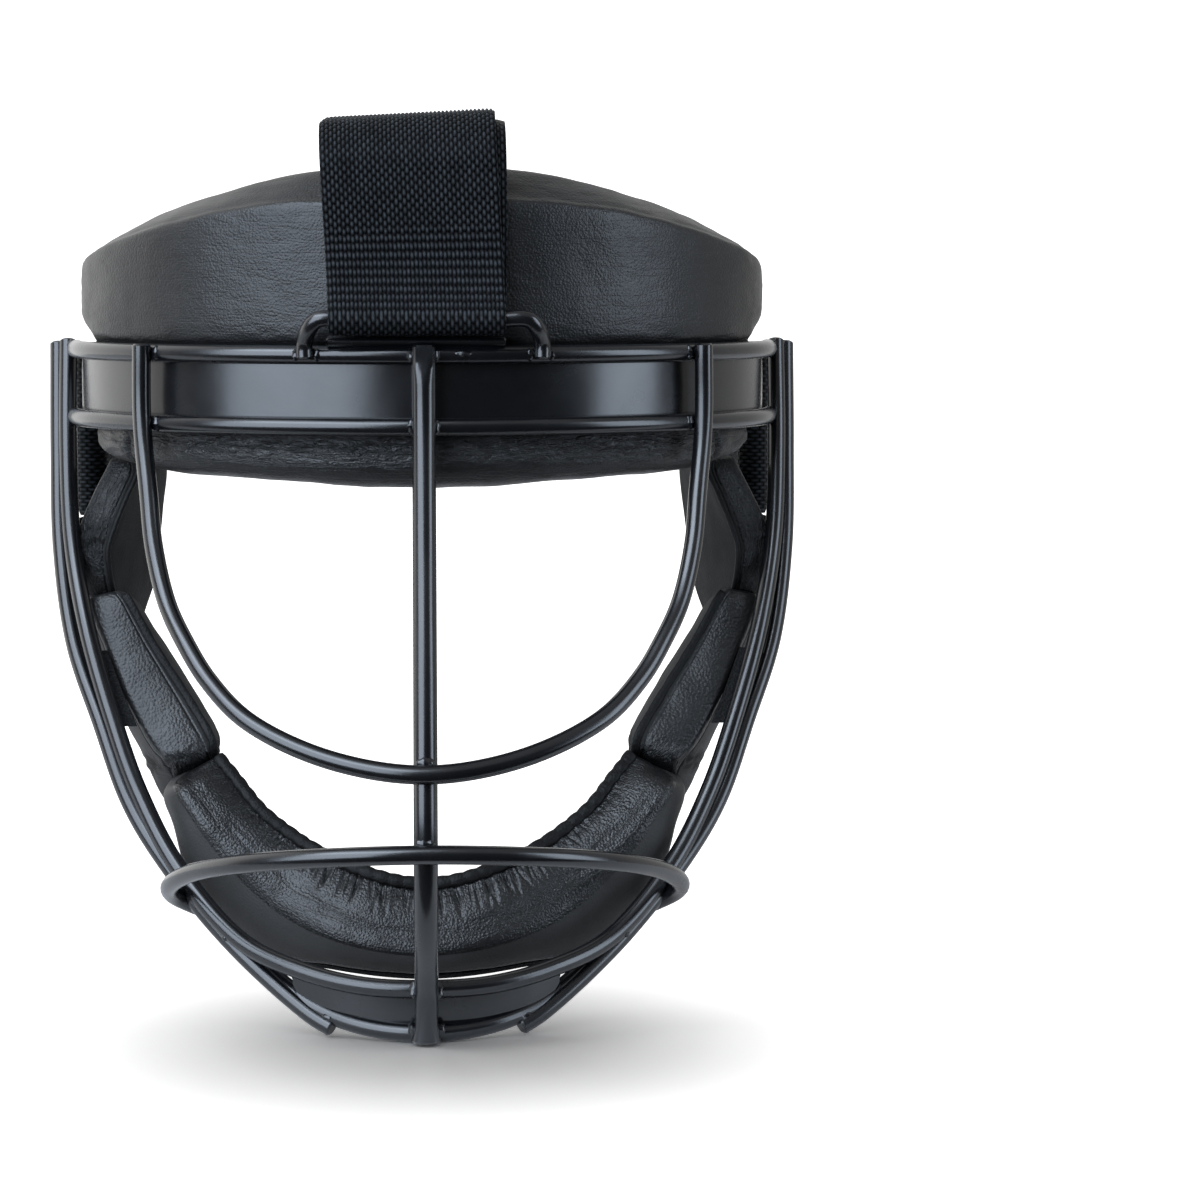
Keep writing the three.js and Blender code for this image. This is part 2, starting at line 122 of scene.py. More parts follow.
def closedLoft(rings):
    # rings of points, with a fan over each end; returns points and faces
    rings = np.asarray(rings, float)
    rows, columns = rings.shape[:2]
    points = np.vstack([rings.reshape(-1, 3), rings[0].mean(0), rings[-1].mean(0)])
    pairs = [(j, (j + 1) % columns) for j in range(columns)]
    final = (rows - 1) * columns
    faces = []
    for base in range(0, final, columns):
        faces.extend((base + j, base + k, base + columns + k, base + columns + j) for j, k in pairs)
    first, last = rows * columns, rows * columns + 1
    for j, k in pairs:
        faces.append((first, k, j))
        faces.append((last, final + j, final + k))
    a, b, c = (points[[f[i] for f in faces]] for i in (0, 1, 2))
    d = points[[f[-1] for f in faces]]
    volume = (np.cross(b - a, c - a) * a).sum() + (np.cross(c - a, d - a) * a).sum()
    if volume < 0:
        faces = [f[::-1] for f in faces]
    return points, faces


def domedEnds(rings, steps, rise):
    # each end carried on by shrinking rings, so that it closes in a low dome
    rings = np.asarray(rings, float)
    left = 0.35  # the last ring stays open by this share of a step

    def cap(ring, inner):
        middle = ring.mean(0)
        out = unit(middle - inner.mean(0))
        shares = [1 - (k + 1) / (steps + left) for k in range(steps)]
        return [middle + (ring - middle) * s + out * rise * (1 - s * s) ** 0.5 for s in shares]

    return np.concatenate([cap(rings[0], rings[1])[::-1], rings, cap(rings[-1], rings[-2])])


def makePiece(name, parts, material, sharp=None):
    # one object from several closed forms, given as (points, faces) in millimetres
    points, faces = [], []
    for p, f in parts:
        base = sum(len(x) for x in points)
        points.append(np.asarray(p, float))
        faces.extend(tuple(base + i for i in face) for face in f)
    mesh = bpy.data.meshes.new(name)
    mesh.from_pydata((np.vstack(points) * mm).tolist(), [], faces)
    mesh.validate()
    mesh.polygons.foreach_set("use_smooth", [True] * len(mesh.polygons))
    if sharp:
        mesh.set_sharp_from_angle(angle=math.radians(sharp))
    piece = bpy.data.objects.new(name, mesh)
    scene.collection.objects.link(piece)
    mesh.materials.append(material)
    return piece


def readVectors(items, label):
    flat = np.zeros(len(items) * 3, np.float32)
    items.foreach_get(label, flat)
    return flat.reshape(-1, 3)


def setPlaces(piece, name, places):
    # where each point lies on the cloth or leather, in millimetres, for the material to read
    layer = piece.data.attributes.new(name, "FLOAT_VECTOR", "POINT")
    flat = np.zeros((len(piece.data.vertices), 3), np.float32)
    flat[:len(places)] = places
    layer.data.foreach_set("vector", flat.ravel())


def getPlaces(piece, name):
    return readVectors(piece.data.attributes[name].data, "vector")


def getPoints(piece):
    return readVectors(piece.data.vertices, "co").astype(float) / mm


def setPoints(piece, points):
    piece.data.vertices.foreach_set("co", (points * mm).astype(np.float32).ravel())
    piece.data.update()


def getNormals(piece):
    return readVectors(piece.data.vertex_normals, "vector").astype(float)


def subdivide(piece, levels):
    step = piece.modifiers.new("finer", "SUBSURF")
    step.levels = step.render_levels = levels
    shown = piece.evaluated_get(bpy.context.evaluated_depsgraph_get())
    mesh = bpy.data.meshes.new_from_object(shown)
    piece.modifiers.clear()
    piece.data = mesh


cover = {"stretch": 40, "bending": 1, "frames": 14}


def swellWithCloth(piece, sewn, pressure, most):
    # the leather swells over its foam, held where it is sewn or pressed down
    before = getPoints(piece)
    group = piece.vertex_groups.new(name="sewn")
    for index, weight in enumerate(sewn):
        if weight > 0:
            group.add([index], float(weight), "REPLACE")
    cloth = piece.modifiers.new("swell", "CLOTH")
    settings = cloth.settings
    settings.vertex_group_mass = "sewn"
    settings.use_pressure = True
    settings.uniform_pressure_force = pressure
    settings.effector_weights.gravity = 0
    settings.tension_stiffness = cover["stretch"]
    settings.compression_stiffness = cover["stretch"]
    settings.bending_stiffness = cover["bending"]
    cloth.point_cache.frame_start, cloth.point_cache.frame_end = 1, cover["frames"]
    for number in range(1, cover["frames"] + 1):
        scene.frame_set(number)
    shown = piece.evaluated_get(bpy.context.evaluated_depsgraph_get())
    moved = readVectors(shown.data.vertices, "co") / mm - before
    far = np.linalg.norm(moved, axis=1, keepdims=True)
    moved *= np.minimum(1, most / np.maximum(far, 1e-6))
    piece.modifiers.clear()
    piece.vertex_groups.clear()
    setPoints(piece, before + moved)
    scene.frame_set(1)
    print("swelled", piece.name, "by up to", round(float(far.max()), 2), "mm before the limit")


seedSteps = (7.13, 3.71, 5.37)


def noiseAt(points, size, seed):
    shift = Vector([seed * step for step in seedSteps])
    return np.array([noise.noise(Vector(p) / size + shift) for p in points])


# Materials

def feed(tree, sockets, values):
    # what another node puts out is linked to its socket, and anything else is set on it
    for label, value in values.items():
        if isinstance(value, bpy.types.NodeSocket):
            tree.links.new(value, sockets[label])
        else:
            sockets[label].default_value = value


def addNode(tree, kind, values=None, **settings):
    node = tree.nodes.new("ShaderNode" + kind)
    for key, value in settings.items():
        setattr(node, key, value)
    feed(tree, node.inputs, values or {})
    return node


def addMath(tree, operation, *values):
    return addNode(tree, "Math", dict(enumerate(values)), operation=operation).outputs[0]


def spread(tree, value, given, wanted, kind="SMOOTHSTEP"):
    # one range of values carried over to another
    labels = ("From Min", "From Max", "To Min", "To Max")
    ranged = addNode(tree, "MapRange", dict(zip(labels, given + wanted)), interpolation_type=kind)
    tree.links.new(value, ranged.inputs["Value"])
    return ranged.outputs["Result"]


def placeCoordinates(tree):
    return addNode(tree, "TexCoord").outputs["Object"]


def newGroup(name, inputs, outputs):
    # inputs are numbers with the value they start from, or vectors where that is None
    group = bpy.data.node_groups.new(name, "ShaderNodeTree")
    for label, value in inputs.items():
        kind = "NodeSocketVector" if value is None else "NodeSocketFloat"
        socket = group.interface.new_socket(label, in_out="INPUT", socket_type=kind)
        if value is not None:
            socket.default_value = value
    for label in outputs:
        group.interface.new_socket(label, in_out="OUTPUT", socket_type="NodeSocketFloat")
    return group, group.nodes.new("NodeGroupInput").outputs, group.nodes.new("NodeGroupOutput").inputs


def leatherGrainGroup():
    # pebbles of fine leather, with wider pores and creases between them
    group, given, put = newGroup("LeatherGrain", {"Pebble": 1100.0, "Crease": 260.0}, ("Height", "Worn"))
    at = placeCoordinates(group)
    pebbles = {"Vector": at, "Scale": given["Pebble"], "Smoothness": 0.35}
    pebble = addNode(group, "TexVoronoi", pebbles, feature="SMOOTH_F1")
    creases = {"Vector": at, "Scale": given["Crease"], "Detail": 5, "Roughness": 0.62}
    crease = addNode(group, "TexNoise", creases)
    worn = addNode(group, "TexNoise", {"Vector": at, "Scale": 38, "Detail": 3})
    low = addMath(group, "MULTIPLY", pebble.outputs["Distance"], -1.0)
    fold = addMath(group, "MULTIPLY", crease.outputs["Fac"], 0.5)
    feed(group, put, {"Height": addMath(group, "ADD", low, fold), "Worn": worn.outputs["Fac"]})
    return group


def weaveGroup():
    # staggered floats of a ribbed webbing: x runs across the band and y along it, in millimetres
    inputs = {"Place": None, "Yarn": 1.0, "Rib": 2.1, "Open": 0.0}
    group, given, put = newGroup("WebWeave", inputs, ("Height", "ToneAndPaintedShade"))
    split = addNode(group, "SeparateXYZ", {0: given["Place"]})
    across = addMath(group, "DIVIDE", split.outputs["X"], given["Yarn"])
    along = addMath(group, "DIVIDE", split.outputs["Y"], given["Rib"])
    odd = addMath(group, "FLOORED_MODULO", addMath(group, "FLOOR", across), 2.0)
    stagger = addMath(group, "MULTIPLY", addMath(group, "SUBTRACT", 1.0, given["Open"]), 0.5)
    onRib = addMath(group, "FRACT", addMath(group, "ADD", along, addMath(group, "MULTIPLY", odd, stagger)))
    onYarn = addMath(group, "FRACT", across)
    wide = addMath(group, "SINE", addMath(group, "MULTIPLY", onYarn, math.pi))
    bump = addMath(group, "SINE", addMath(group, "MULTIPLY", onRib, math.pi))
    sharper = addMath(group, "POWER", wide, 0.6), addMath(group, "POWER", bump, 0.5)
    height = addMath(group, "MULTIPLY", *sharper)
    fuzz = addNode(group, "TexNoise", {"Vector": given["Place"], "Scale": 0.35, "Detail": 6})
    # the colour is painted light on each yarn's top and dark in the gaps between the yarns, a painted shade,
    # with an uneven tone from the noise
    top = addMath(group, "POWER", addMath(group, "MULTIPLY", wide, bump), 1.7)
    uneven = addMath(group, "MULTIPLY", fuzz.outputs["Fac"], 2.0)
    feed(group, put, {"Height": height, "ToneAndPaintedShade": addMath(group, "MULTIPLY", top, uneven)})
    return group


def wrinkleGroup():
    # wrinkles drawn out one way, as thin cracks and as soft ridges: x runs along a pad and y round it
    inputs = {"Place": None, "Long": 16.0, "Short": 1.9, "Thin": 0.05}
    group, given, put = newGroup("LeatherWrinkle", inputs, ("Crack", "Ridge"))
    split = addNode(group, "SeparateXYZ", {0: given["Place"]})
    along = addMath(group, "DIVIDE", split.outputs["X"], given["Long"])
    around = addMath(group, "DIVIDE", split.outputs["Y"], given["Short"])
    drawn = addNode(group, "CombineXYZ", {0: along, 1: around})
    sizes = {"Vector": drawn.outputs[0], "Scale": 1, "Detail": 4, "Distortion": 0.6}
    lines = addNode(group, "TexNoise", sizes)
    folded = addMath(group, "ABSOLUTE", addMath(group, "SUBTRACT", lines.outputs["Fac"], 0.5))
    crack = spread(group, folded, (0.0, given["Thin"]), (-1, 0))
    feed(group, put, {"Crack": crack, "Ridge": addMath(group, "MULTIPLY", folded, 4.0)})
    return group


def handlingGroup():
    # a slow unevenness of gloss, as handling leaves it
    group, given, put = newGroup("Handling", {"Size": 60.0, "Least": 0.3, "Most": 0.4}, ("Gloss",))
    clouds = {"Vector": placeCoordinates(group), "Scale": given["Size"], "Detail": 4}
    cloud = addNode(group, "TexNoise", clouds).outputs["Fac"]
    feed(group, put, {"Gloss": spread(group, cloud, (0.3, 0.7), (given["Least"], given["Most"]), "LINEAR")})
    return group


groups = {
    "grain": leatherGrainGroup(),
    "wrinkle": wrinkleGroup(),
    "weave": weaveGroup(),
    "handling": handlingGroup(),
}


def newMaterial(name):
    material = bpy.data.materials.new(name)
    material.use_nodes = True
    tree = material.node_tree
    shader = next(n for n in tree.nodes if n.type == "BSDF_PRINCIPLED")
    return material, tree, shader


def addGroup(tree, key, **values):
    return addNode(tree, "Group", values, node_tree=groups[key])


def addBump(tree, shader, height, strength, distance):
    bump = addNode(tree, "Bump", {"Strength": strength, "Distance": distance * mm, "Height": height})
    tree.links.new(bump.outputs["Normal"], shader.inputs["Normal"])


def mixColours(tree, share, first, second):
    # a mix of colours has its share at socket 0, the colours at 6 and 7, and the result at 2
    mix = addNode(tree, "Mix", {0: share, 6: (*first, 1), 7: (*second, 1)}, data_type="RGBA")
    return mix.outputs[2]


def coatedSteel():
    look = {"dark": (0.0025, 0.0027, 0.0034), "light": (0.004, 0.0044, 0.0056), "peel": 420.0}
    material, tree, shader = newMaterial("coated_steel")
    handled = addGroup(tree, "handling", Size=70.0, Least=0.21, Most=0.29)
    peels = {"Vector": placeCoordinates(tree), "Scale": look["peel"], "Detail": 2}
    peel = addNode(tree, "TexNoise", peels).outputs["Fac"]
    addBump(tree, shader, peel, 0.12, 0.1)
    feed(tree, shader.inputs, {
        "Base Color": mixColours(tree, peel, look["dark"], look["light"]),
        "Roughness": handled.outputs["Gloss"],
        "Specular IOR Level": 0.55,
        "Coat Weight": 0.35,
        "Coat Roughness": 0.2,
    })
    return material


leatherLines = [
    # size along and round the pad in millimetres, and the kind: long cracks, gathers, crinkles
    (24.0, 2.3, "Crack"), (2.6, 18.0, "Crack"), (3.8, 1.3, "Ridge"),
]
leatherLooks = {
    # darkest and lightest colour, pebbles to the metre, depth of the grain, least and most roughness, shine
    "pad_leather": ((0.004, 0.004, 0.0042), (0.0075, 0.0074, 0.0074), 1500.0, 0.1, (0.36, 0.46), 0.5),
    "temple_leather": ((0.004, 0.004, 0.0041), (0.007, 0.007, 0.007), 1500.0, 0.18, (0.44, 0.54), 0.4),
    "cheek_leather": ((0.004, 0.004, 0.0042), (0.008, 0.0079, 0.0079), 1250.0, 0.15, (0.38, 0.48), 0.5),
    "chin_leather": ((0.005, 0.005, 0.0052), (0.009, 0.0089, 0.009), 1500.0, 0.17, (0.3, 0.4), 0.5),
    "pad_lining": ((0.005, 0.0047, 0.0044), (0.008, 0.0075, 0.007), 1500.0, 0.1, (0.75, 0.88), 0.4),
    # the outer walls' leather is several times lighter than the rest: painted light where the walls catch the
    # lamps
    "painted_light_wall_leather": ((0.022, 0.021, 0.02), (0.034, 0.0325, 0.031), 1500.0, 0.06, (0.55, 0.65), 0.4),
    "edge_leather": ((0.002, 0.002, 0.0021), (0.004, 0.004, 0.004), 1400.0, 0.12, (0.5, 0.6), 0.2),
}


def leather(name):
    # padFold holds how deep each kind of line is at each point, in millimetres
    dark, light, pebble, deep, (least, most), shine = leatherLooks[name]
    material, tree, shader = newMaterial(name)
    grain = addGroup(tree, "grain", Pebble=pebble)
    handled = addGroup(tree, "handling", Size=45.0, Least=least, Most=most)
    place = addNode(tree, "Attribute", attribute_name="padPlace").outputs["Vector"]
    fold = addNode(tree, "Attribute", attribute_name="padFold").outputs["Vector"]
    depths = addNode(tree, "SeparateXYZ", {0: fold}).outputs
    height = addMath(tree, "MULTIPLY", grain.outputs["Height"], deep)
    for depth, (length, width, kind) in zip(depths, leatherLines):
        lines = addGroup(tree, "wrinkle", Place=place, Long=length, Short=width)
        height = addMath(tree, "ADD", height, addMath(tree, "MULTIPLY", lines.outputs[kind], depth))
    addBump(tree, shader, height, 1.0, 1.0)
    feed(tree, shader.inputs, {
        "Base Color": mixColours(tree, grain.outputs["Worn"], dark, light),
        "Roughness": handled.outputs["Gloss"],
        "Specular IOR Level": shine,
    })
    return material


webSizes = {"width": 48.0, "thick": 2.0, "yarn": 1.12, "rib": 2.4, "relief": 0.9, "selvedge": 0.28}


def webbing():
    # webPlace holds millimetres across and along; its z is 1 where the yarns are modelled,
    # and more where the ribs open
    look = {"dark": (0.0004, 0.0004, 0.0005), "light": (0.033, 0.037, 0.041)}
    material, tree, shader = newMaterial("webbing")
    place = addNode(tree, "Attribute", attribute_name="webPlace").outputs["Vector"]
    mark = addNode(tree, "SeparateXYZ", {0: place}).outputs["Z"]
    flat = addMath(tree, "SUBTRACT", 1.0, addMath(tree, "MINIMUM", mark, 1.0))
    opened = addMath(tree, "MAXIMUM", addMath(tree, "SUBTRACT", mark, 1.0), 0.0)
    weave = addGroup(tree, "weave", Place=place, Yarn=webSizes["yarn"], Rib=webSizes["rib"], Open=opened)
    addBump(tree, shader, addMath(tree, "MULTIPLY", weave.outputs["Height"], flat), 0.8, 0.45)
    # the base colour takes the weave's painted shade: lighter yarn tops and near black gaps between them
    feed(tree, shader.inputs, {
        "Base Color": mixColours(tree, weave.outputs["ToneAndPaintedShade"], look["dark"], look["light"]),
        "Roughness": 0.5,
        "Specular IOR Level": 0.06,
    })
    return material


def hookTape():
    look = {"dark": (0.0008, 0.0008, 0.0009), "light": (0.006, 0.006, 0.0065), "loops": 1400}
    material, tree, shader = newMaterial("hook_tape")
    loops = addNode(tree, "TexVoronoi", {"Vector": placeCoordinates(tree), "Scale": look["loops"]})
    height = loops.outputs["Distance"]
    addBump(tree, shader, height, 0.9, 0.5)
    # the colour follows the loops' height, darker in the hollows between them: a painted shade
    colour = mixColours(tree, height, look["dark"], look["light"])
    feed(tree, shader.inputs, {"Base Color": colour, "Roughness": 0.9})
    return material


coat = coatedSteel()
leathers = {name: leather(name) for name in leatherLooks}
strapWeb = webbing()
tape = hookTape()
print("materials ready")


# Brow: rails, plate and pad share one curve, half an ellipse in plan

brow = {"halfWidth": 102.4, "depth": 93.0, "front": -27.0, "railHeight": 9.8}


def browPoint(angle, inward, z):
    turn = math.radians(angle)
    a, b = brow["halfWidth"], brow["depth"]
    along = unit(np.array([a * math.cos(turn), b * math.sin(turn)]))
    x = a * math.sin(turn) - along[1] * inward
    y = brow["front"] + b * (1 - math.cos(turn)) + along[0] * inward
    return np.array([x, y, z])


# The welded cage

cage = {
    "rod": 2.6, "bar": 3.25, "bail": 2.0, "sides": 20, "step": 2.2, "railCuts": 140, "chamfer": 0.5,
    "weld": 0.9,
}

centreBar = [
    (0, -31.7, 12.6), (0, -31.8, -9), (0, -40, -40), (0, -52, -75), (0, -57.8, -100),
    (0, -59.2, -121.5), (0, -53, -143), (0, -41, -158), (0, -36, -165.5), (0, -34.8, -178),
]
eyeLoopAngle = 47.4
eyeLoop = [
    (76.3, -7, -29), (74.6, -13, -43), (70.6, -21, -58), (65.3, -29, -68), (58.4, -36.5, -78),
    (47.2, -46, -88), (25, -57, -97), (0, -62.4, -100.3),
]
mouthHoop = [
    (64.6, 6.4, -147.2), (70.4, 2.2, -143.6), (71.8, -6, -139.6), (65, -24, -132.6),
    (50, -45, -126.6), (24, -60.6, -122.5), (0, -63.8, -121.5),
]
sideBar = [
    (108, 68.4, 11.5), (107.4, 59, -20), (106.2, 50, -48), (101.7, 39, -75), (93.3, 28, -97),
    (84.4, 18, -119), (73.7, 9.5, -135), (54.3, -4.4, -156), (32.4, -18.6, -173.2), (26, -22, -176.6),
]
jawLoop = [
    (104.9, 65, 12.3), (104.4, 55, -18), (102.6, 46, -46), (97.6, 34, -70), (89.4, 23.5, -96),
    (81.6, 15.8, -116), (70, 5.5, -136), (51.7, -8, -154.6), (34, -20, -161), (17, -28.6, -163.6),
    (0, -31.5, -164),
]
chinRod = [
    (51, -4.6, -157.5), (39, -12.6, -166.8), (28, -19.8, -172.6), (15, -27, -175.6), (0, -30.5, -176.4),
]
sideBail = [
    (106.3, 53.2, -42.2), (102.4, 68, -42.6), (100, 75.4, -41.4), (99.4, 77, -38.8), (99.4, 77, -30.8),
    (99.4, 77, 2.2), (99.4, 77, 7.6), (100.6, 76.4, 9.6), (103.6, 73.4, 9), (107.4, 68.8, 6.8),
]
strapBail = {
    "angle": 17.8, "halfTop": 28.4, "foot": 8.6, "shoulder": 13.0, "top": 19.5, "bow": 1.2, "bend": 2.4,
    "back": 1.6, "radius": 2.3,
}
bailTie = {"rows": [(-26.4, -26, 13.4), (-2, -26.2, 13.4), (22.4, -26, 13.4)], "radius": 1.45}
barEnds = {"flat": 1.0, "over": 7.0, "deep": 1.1, "foot": -173.0, "footOver": 5.0, "spread": 0.35}
bailY = brow["front"] - cage["rod"] - cage["bail"] + cage["weld"] - strapBail["bow"]


def tube(path, radius):
    # a round rod along a path, with its ends chamfered
    c = cage["chamfer"]
    ahead, across, up = turnFrames(path)
    turns = np.linspace(0, 2 * math.pi, cage["sides"], endpoint=False)
    circle = np.cos(turns)[None, :, None] * across[:, None] + np.sin(turns)[None, :, None] * up[:, None]
    body = path[:, None] + radius * circle
    start = path[0] + (radius - c) * circle[0]
    end = path[-1] + (radius - c) * circle[-1]
    body[0] += c * ahead[0]
    body[-1] -= c * ahead[-1]
    return closedLoft(np.concatenate([[start], body, [end]]))


def browRail(z):
    angles = np.linspace(-90, 90, cage["railCuts"])
    return tube(np.array([browPoint(angle, 0, z) for angle in angles]), cage["rod"])


def sheetStrip(rows, thick):
    # a strip of sheet metal through rows of (low, high, outwards), with rounded edges
    bend = 0.42
    flat = thick / 2 - bend
    rings = []
    for low, high, out in rows:
        up = unit(high - low)
        ring = []
        for o, v in ((-1, -1), (-1, 1), (1, 1), (1, -1)):
            edge = high if v > 0 else low
            for k in (0, 0.5, 1):
                lean = (k if o * v > 0 else 1 - k) * math.pi / 2
                sideways = out * o * (flat + bend * math.cos(lean))
                ring.append(edge + sideways + up * v * bend * (math.sin(lean) - 1))
        rings.append(ring)
    return closedLoft(rings)


def browPlate():
    plate = {"inset": 2.0, "thick": 1.5, "half": 10.0, "end": 84.0, "cuts": 120}
    rows = []
    for angle in np.linspace(-plate["end"], plate["end"], plate["cuts"]):
        low = browPoint(angle, plate["inset"], -plate["half"])
        high = browPoint(angle, plate["inset"], plate["half"])
        out = unit(browPoint(angle, 0, 0) - browPoint(angle, 1, 0))
        rows.append((low, high, out))
    return sheetStrip(rows, plate["thick"])


def chinPlate():
    plate = {"thick": 1.5, "cuts": 60}
    rows = bothHalves([
        # x, y, lower edge, upper edge
        (37, -15.8, -166.4, -163), (35, -17.2, -169, -161.2), (28, -21.4, -172, -161.8),
        (15, -26.8, -174.2, -163.4), (0, -28.6, -175, -164),
    ])
    path = evenPath(rows, plate["cuts"])
    ahead = unit(np.gradient(path[:, :2], axis=0))
    strips = []
    for (x, y, low, high), (dx, dy) in zip(path, ahead):
        out = np.array([-dy, dx, 0]) * (1 if dx < 0 else -1)
        strips.append((np.array([x, y, low]), np.array([x, y, high]), out))
    return sheetStrip(strips, plate["thick"])


bead = {"rings": 11, "sides": 14, "end": 0.16, "ripple": 0.13, "lump": 0.1}


def weldBead(centre, along, size, seed):
    # a small lump of weld, rippled along its length; size is half its length, width and height
    length, width, height = size
    along = unit(along)
    side = unit(np.cross(along, [0.3, 0.5, 0.81]))
    up = np.cross(along, side)
    rings = []
    for k, lean in enumerate(np.linspace(bead["end"], math.pi - bead["end"], bead["rings"])):
        ripple = 1 + bead["ripple"] * math.sin(k * 2.1 + seed)
        ring = []
        for turn in np.linspace(0, 2 * math.pi, bead["sides"], endpoint=False):
            swell = ripple * (1 + bead["lump"] * math.sin(3 * turn + seed * 1.7 + k * 0.6))
            across = side * width * math.cos(turn) + up * height * math.sin(turn)
            ring.append(centre - along * length * math.cos(lean) + across * math.sin(lean) * swell)
        rings.append(ring)
    return closedLoft(rings)


def weldBeads():
    # middle, direction, and half the length, width and height; each has a twin on the other side
    rail = brow["railHeight"]
    foot = strapBail["angle"]
    rows = [
        ((103.4, 61.5, rail + 0.4), (0, 0.3, 1), (2.6, 1.5, 1.5)),
        ((103.2, 59.5, -rail), (0, 0.3, 1), (2.6, 1.6, 1.6)),
        (browPoint(eyeLoopAngle - 1.9, -1.7, rail), (0, 0, 1), (2.2, 1.4, 1.3)),
        (browPoint(eyeLoopAngle - 1.9, -1.7, -rail), (0, 0, 1), (2.3, 1.5, 1.3)),
        (browPoint(foot - 1.7, -1.9, rail), (0, 0, 1), (1.8, 1.1, 1.1)),
        (browPoint(foot + 1.7, -1.9, rail), (0, 0, 1), (1.7, 1.1, 1.1)),
        ((3.4, -29.6, rail), (0, 0, 1), (2.1, 1.2, 1.4)),
        ((3.4, -29.6, -rail), (0, 0, 1), (2.1, 1.1, 1.2)),
        ((3.3, -33.6, -163.8), (0, 0.3, 1), (2.6, 1.3, 1.4)),
        ((3.5, -32.2, -175.4), (0.3, 0, 1), (2.5, 1.6, 1.6)),
        ((55.2, -6.0, -152.4), (-0.6, 0.4, 0.7), (3.0, 1.2, 1.3)),
        ((66.6, 4.0, -144.4), (0.4, 0.3, 1), (2.4, 1.4, 1.4)),
        ((27.0, -22.4, -173.6), (0.8, 0.3, 0.3), (2.4, 1.2, 1.4)),
        ((107.0, 55.0, -41.8), (0, 1, 0.1), (2.2, 1.5, 1.5)),
    ]
    beads = []
    for number, (centre, along, size) in enumerate(rows):
        beads.append(weldBead(np.array(centre, float), np.array(along, float), size, number))
        beads.append(weldBead(mirrored(centre), mirrored(along), size, number + 0.5))
    single = [
        ((0, -60.2, -97.4), (2.5, 1.3, 1.5), 30),
        ((0, -61.6, -118.6), (2.5, 1.3, 1.5), 31),
        ((10.6, -28.7, rail + 0.4), (2.6, 0.9, 1.1), 41),
    ]
    for centre, size, seed in single:
        beads.append(weldBead(np.array(centre, float), np.array([1.0, 0, 0]), size, seed))
    return beads


def endBar(points):
    # the bar's upper end is ground flat in front, and its foot is pressed wide
    z = points[:, 2]
    ground = np.clip((z - barEnds["flat"]) / barEnds["over"], 0, 1)
    level = centreBar[0][1] - cage["bar"] + barEnds["deep"] * ground
    points[:, 1] = np.where(z > barEnds["flat"], np.maximum(points[:, 1], level), points[:, 1])
    pressed = np.clip((barEnds["foot"] - z) / barEnds["footOver"], 0, 1)
    points[:, 0] *= 1 + barEnds["spread"] * pressed ** 2


def makeCage():
    step, rod, rail = cage["step"], cage["rod"], brow["railHeight"]
    offset = cage["weld"] - 2 * rod
    loopTop = [browPoint(eyeLoopAngle, offset, z) for z in (rail + rod, -rail)]
    b = strapBail
    bailIn = cage["weld"] - rod - cage["bail"]
    bail = [
        browPoint(b["angle"], bailIn, b["foot"]), browPoint(b["angle"], bailIn, b["shoulder"]),
        (b["halfTop"] + b["bend"], bailY + b["back"], b["top"] - b["bend"]),
        (b["halfTop"], bailY, b["top"]), (b["halfTop"] * 0.5 ** 0.5, bailY, b["top"]), (0, bailY, b["top"]),
    ]
    bar = tube(smoothPath(centreBar, step), cage["bar"])
    endBar(bar[0])
    parts = [browRail(rail), browRail(-rail), browPlate(), chinPlate(), bar]
    rods = [
        (bothHalves(loopTop + eyeLoop), rod), (bothHalves(mouthHoop), rod), (bothHalves(jawLoop), rod),
        (sideBar, rod), (mirrored(sideBar), rod), (bothHalves(chinRod), rod), (bothHalves(bail), b["radius"]),
        (sideBail, cage["bail"]), (mirrored(sideBail), cage["bail"]), (bailTie["rows"], bailTie["radius"]),
    ]
    for rows, radius in rods:
        parts.append(tube(smoothPath(rows, step), radius))
    piece = makePiece("wire_cage", parts + weldBeads(), coat, sharp=38)
    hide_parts("cage")
    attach(piece, "root")
    print("cage:", len(parts), "rods and plates")


makeCage()


# Pads

def sectionRing(corners, bend, swell, perSide, perCorner):
    # a closed section through its corners: sides that swell, and rounded corners between them;
    # each point's side is the number of the corner before it, whole on the corner and a fraction past it
    corners = np.asarray(corners, float)
    count = len(corners)
    centre = corners.mean(0)
    ring, side = [], []
    for k in range(count):
        before, here, after = corners[k - 1], corners[k], corners[(k + 1) % count]
        near, far = here + (before - here) * bend, here + (after - here) * bend
        for s in np.linspace(0, 1, perCorner, endpoint=False):
            ring.append((1 - s) ** 2 * near + 2 * s * (1 - s) * here + s * s * far)
            side.append(k)
        end = after + (here - after) * bend
        out = unit((far + end) / 2 - centre)
        for s in np.linspace(0, 1, perSide, endpoint=False):
            ring.append(far + (end - far) * s + out * swell * math.sin(math.pi * s))
            side.append(k + s * 0.98 + 0.01)
    return np.array(ring), np.array(side)


def padGrid(rows, form):
    # the pad's sections, evenly spaced along it, and the side of the section that each point is on
    rows = np.asarray(rows, float)
    lines = [evenPath(rows[:, k], form["cuts"]) for k in range(rows.shape[1])]
    rings = []
    for corners in zip(*lines):
        ring, side = sectionRing(corners, form["round"], form["swell"], form["perSide"], form["perCorner"])
        rings.append(ring)
    return np.array(rings), side


def placesOf(rings, side):
    # distance along the pad and round its section in millimetres, then the side, in the order of the points
    along = np.repeat(lengthsAlong(rings.mean(1))[:, None], rings.shape[1], 1)
    around = np.array([lengthsAlong(ring) for ring in rings])
    return np.stack([along, around, side], -1).reshape(-1, 3)


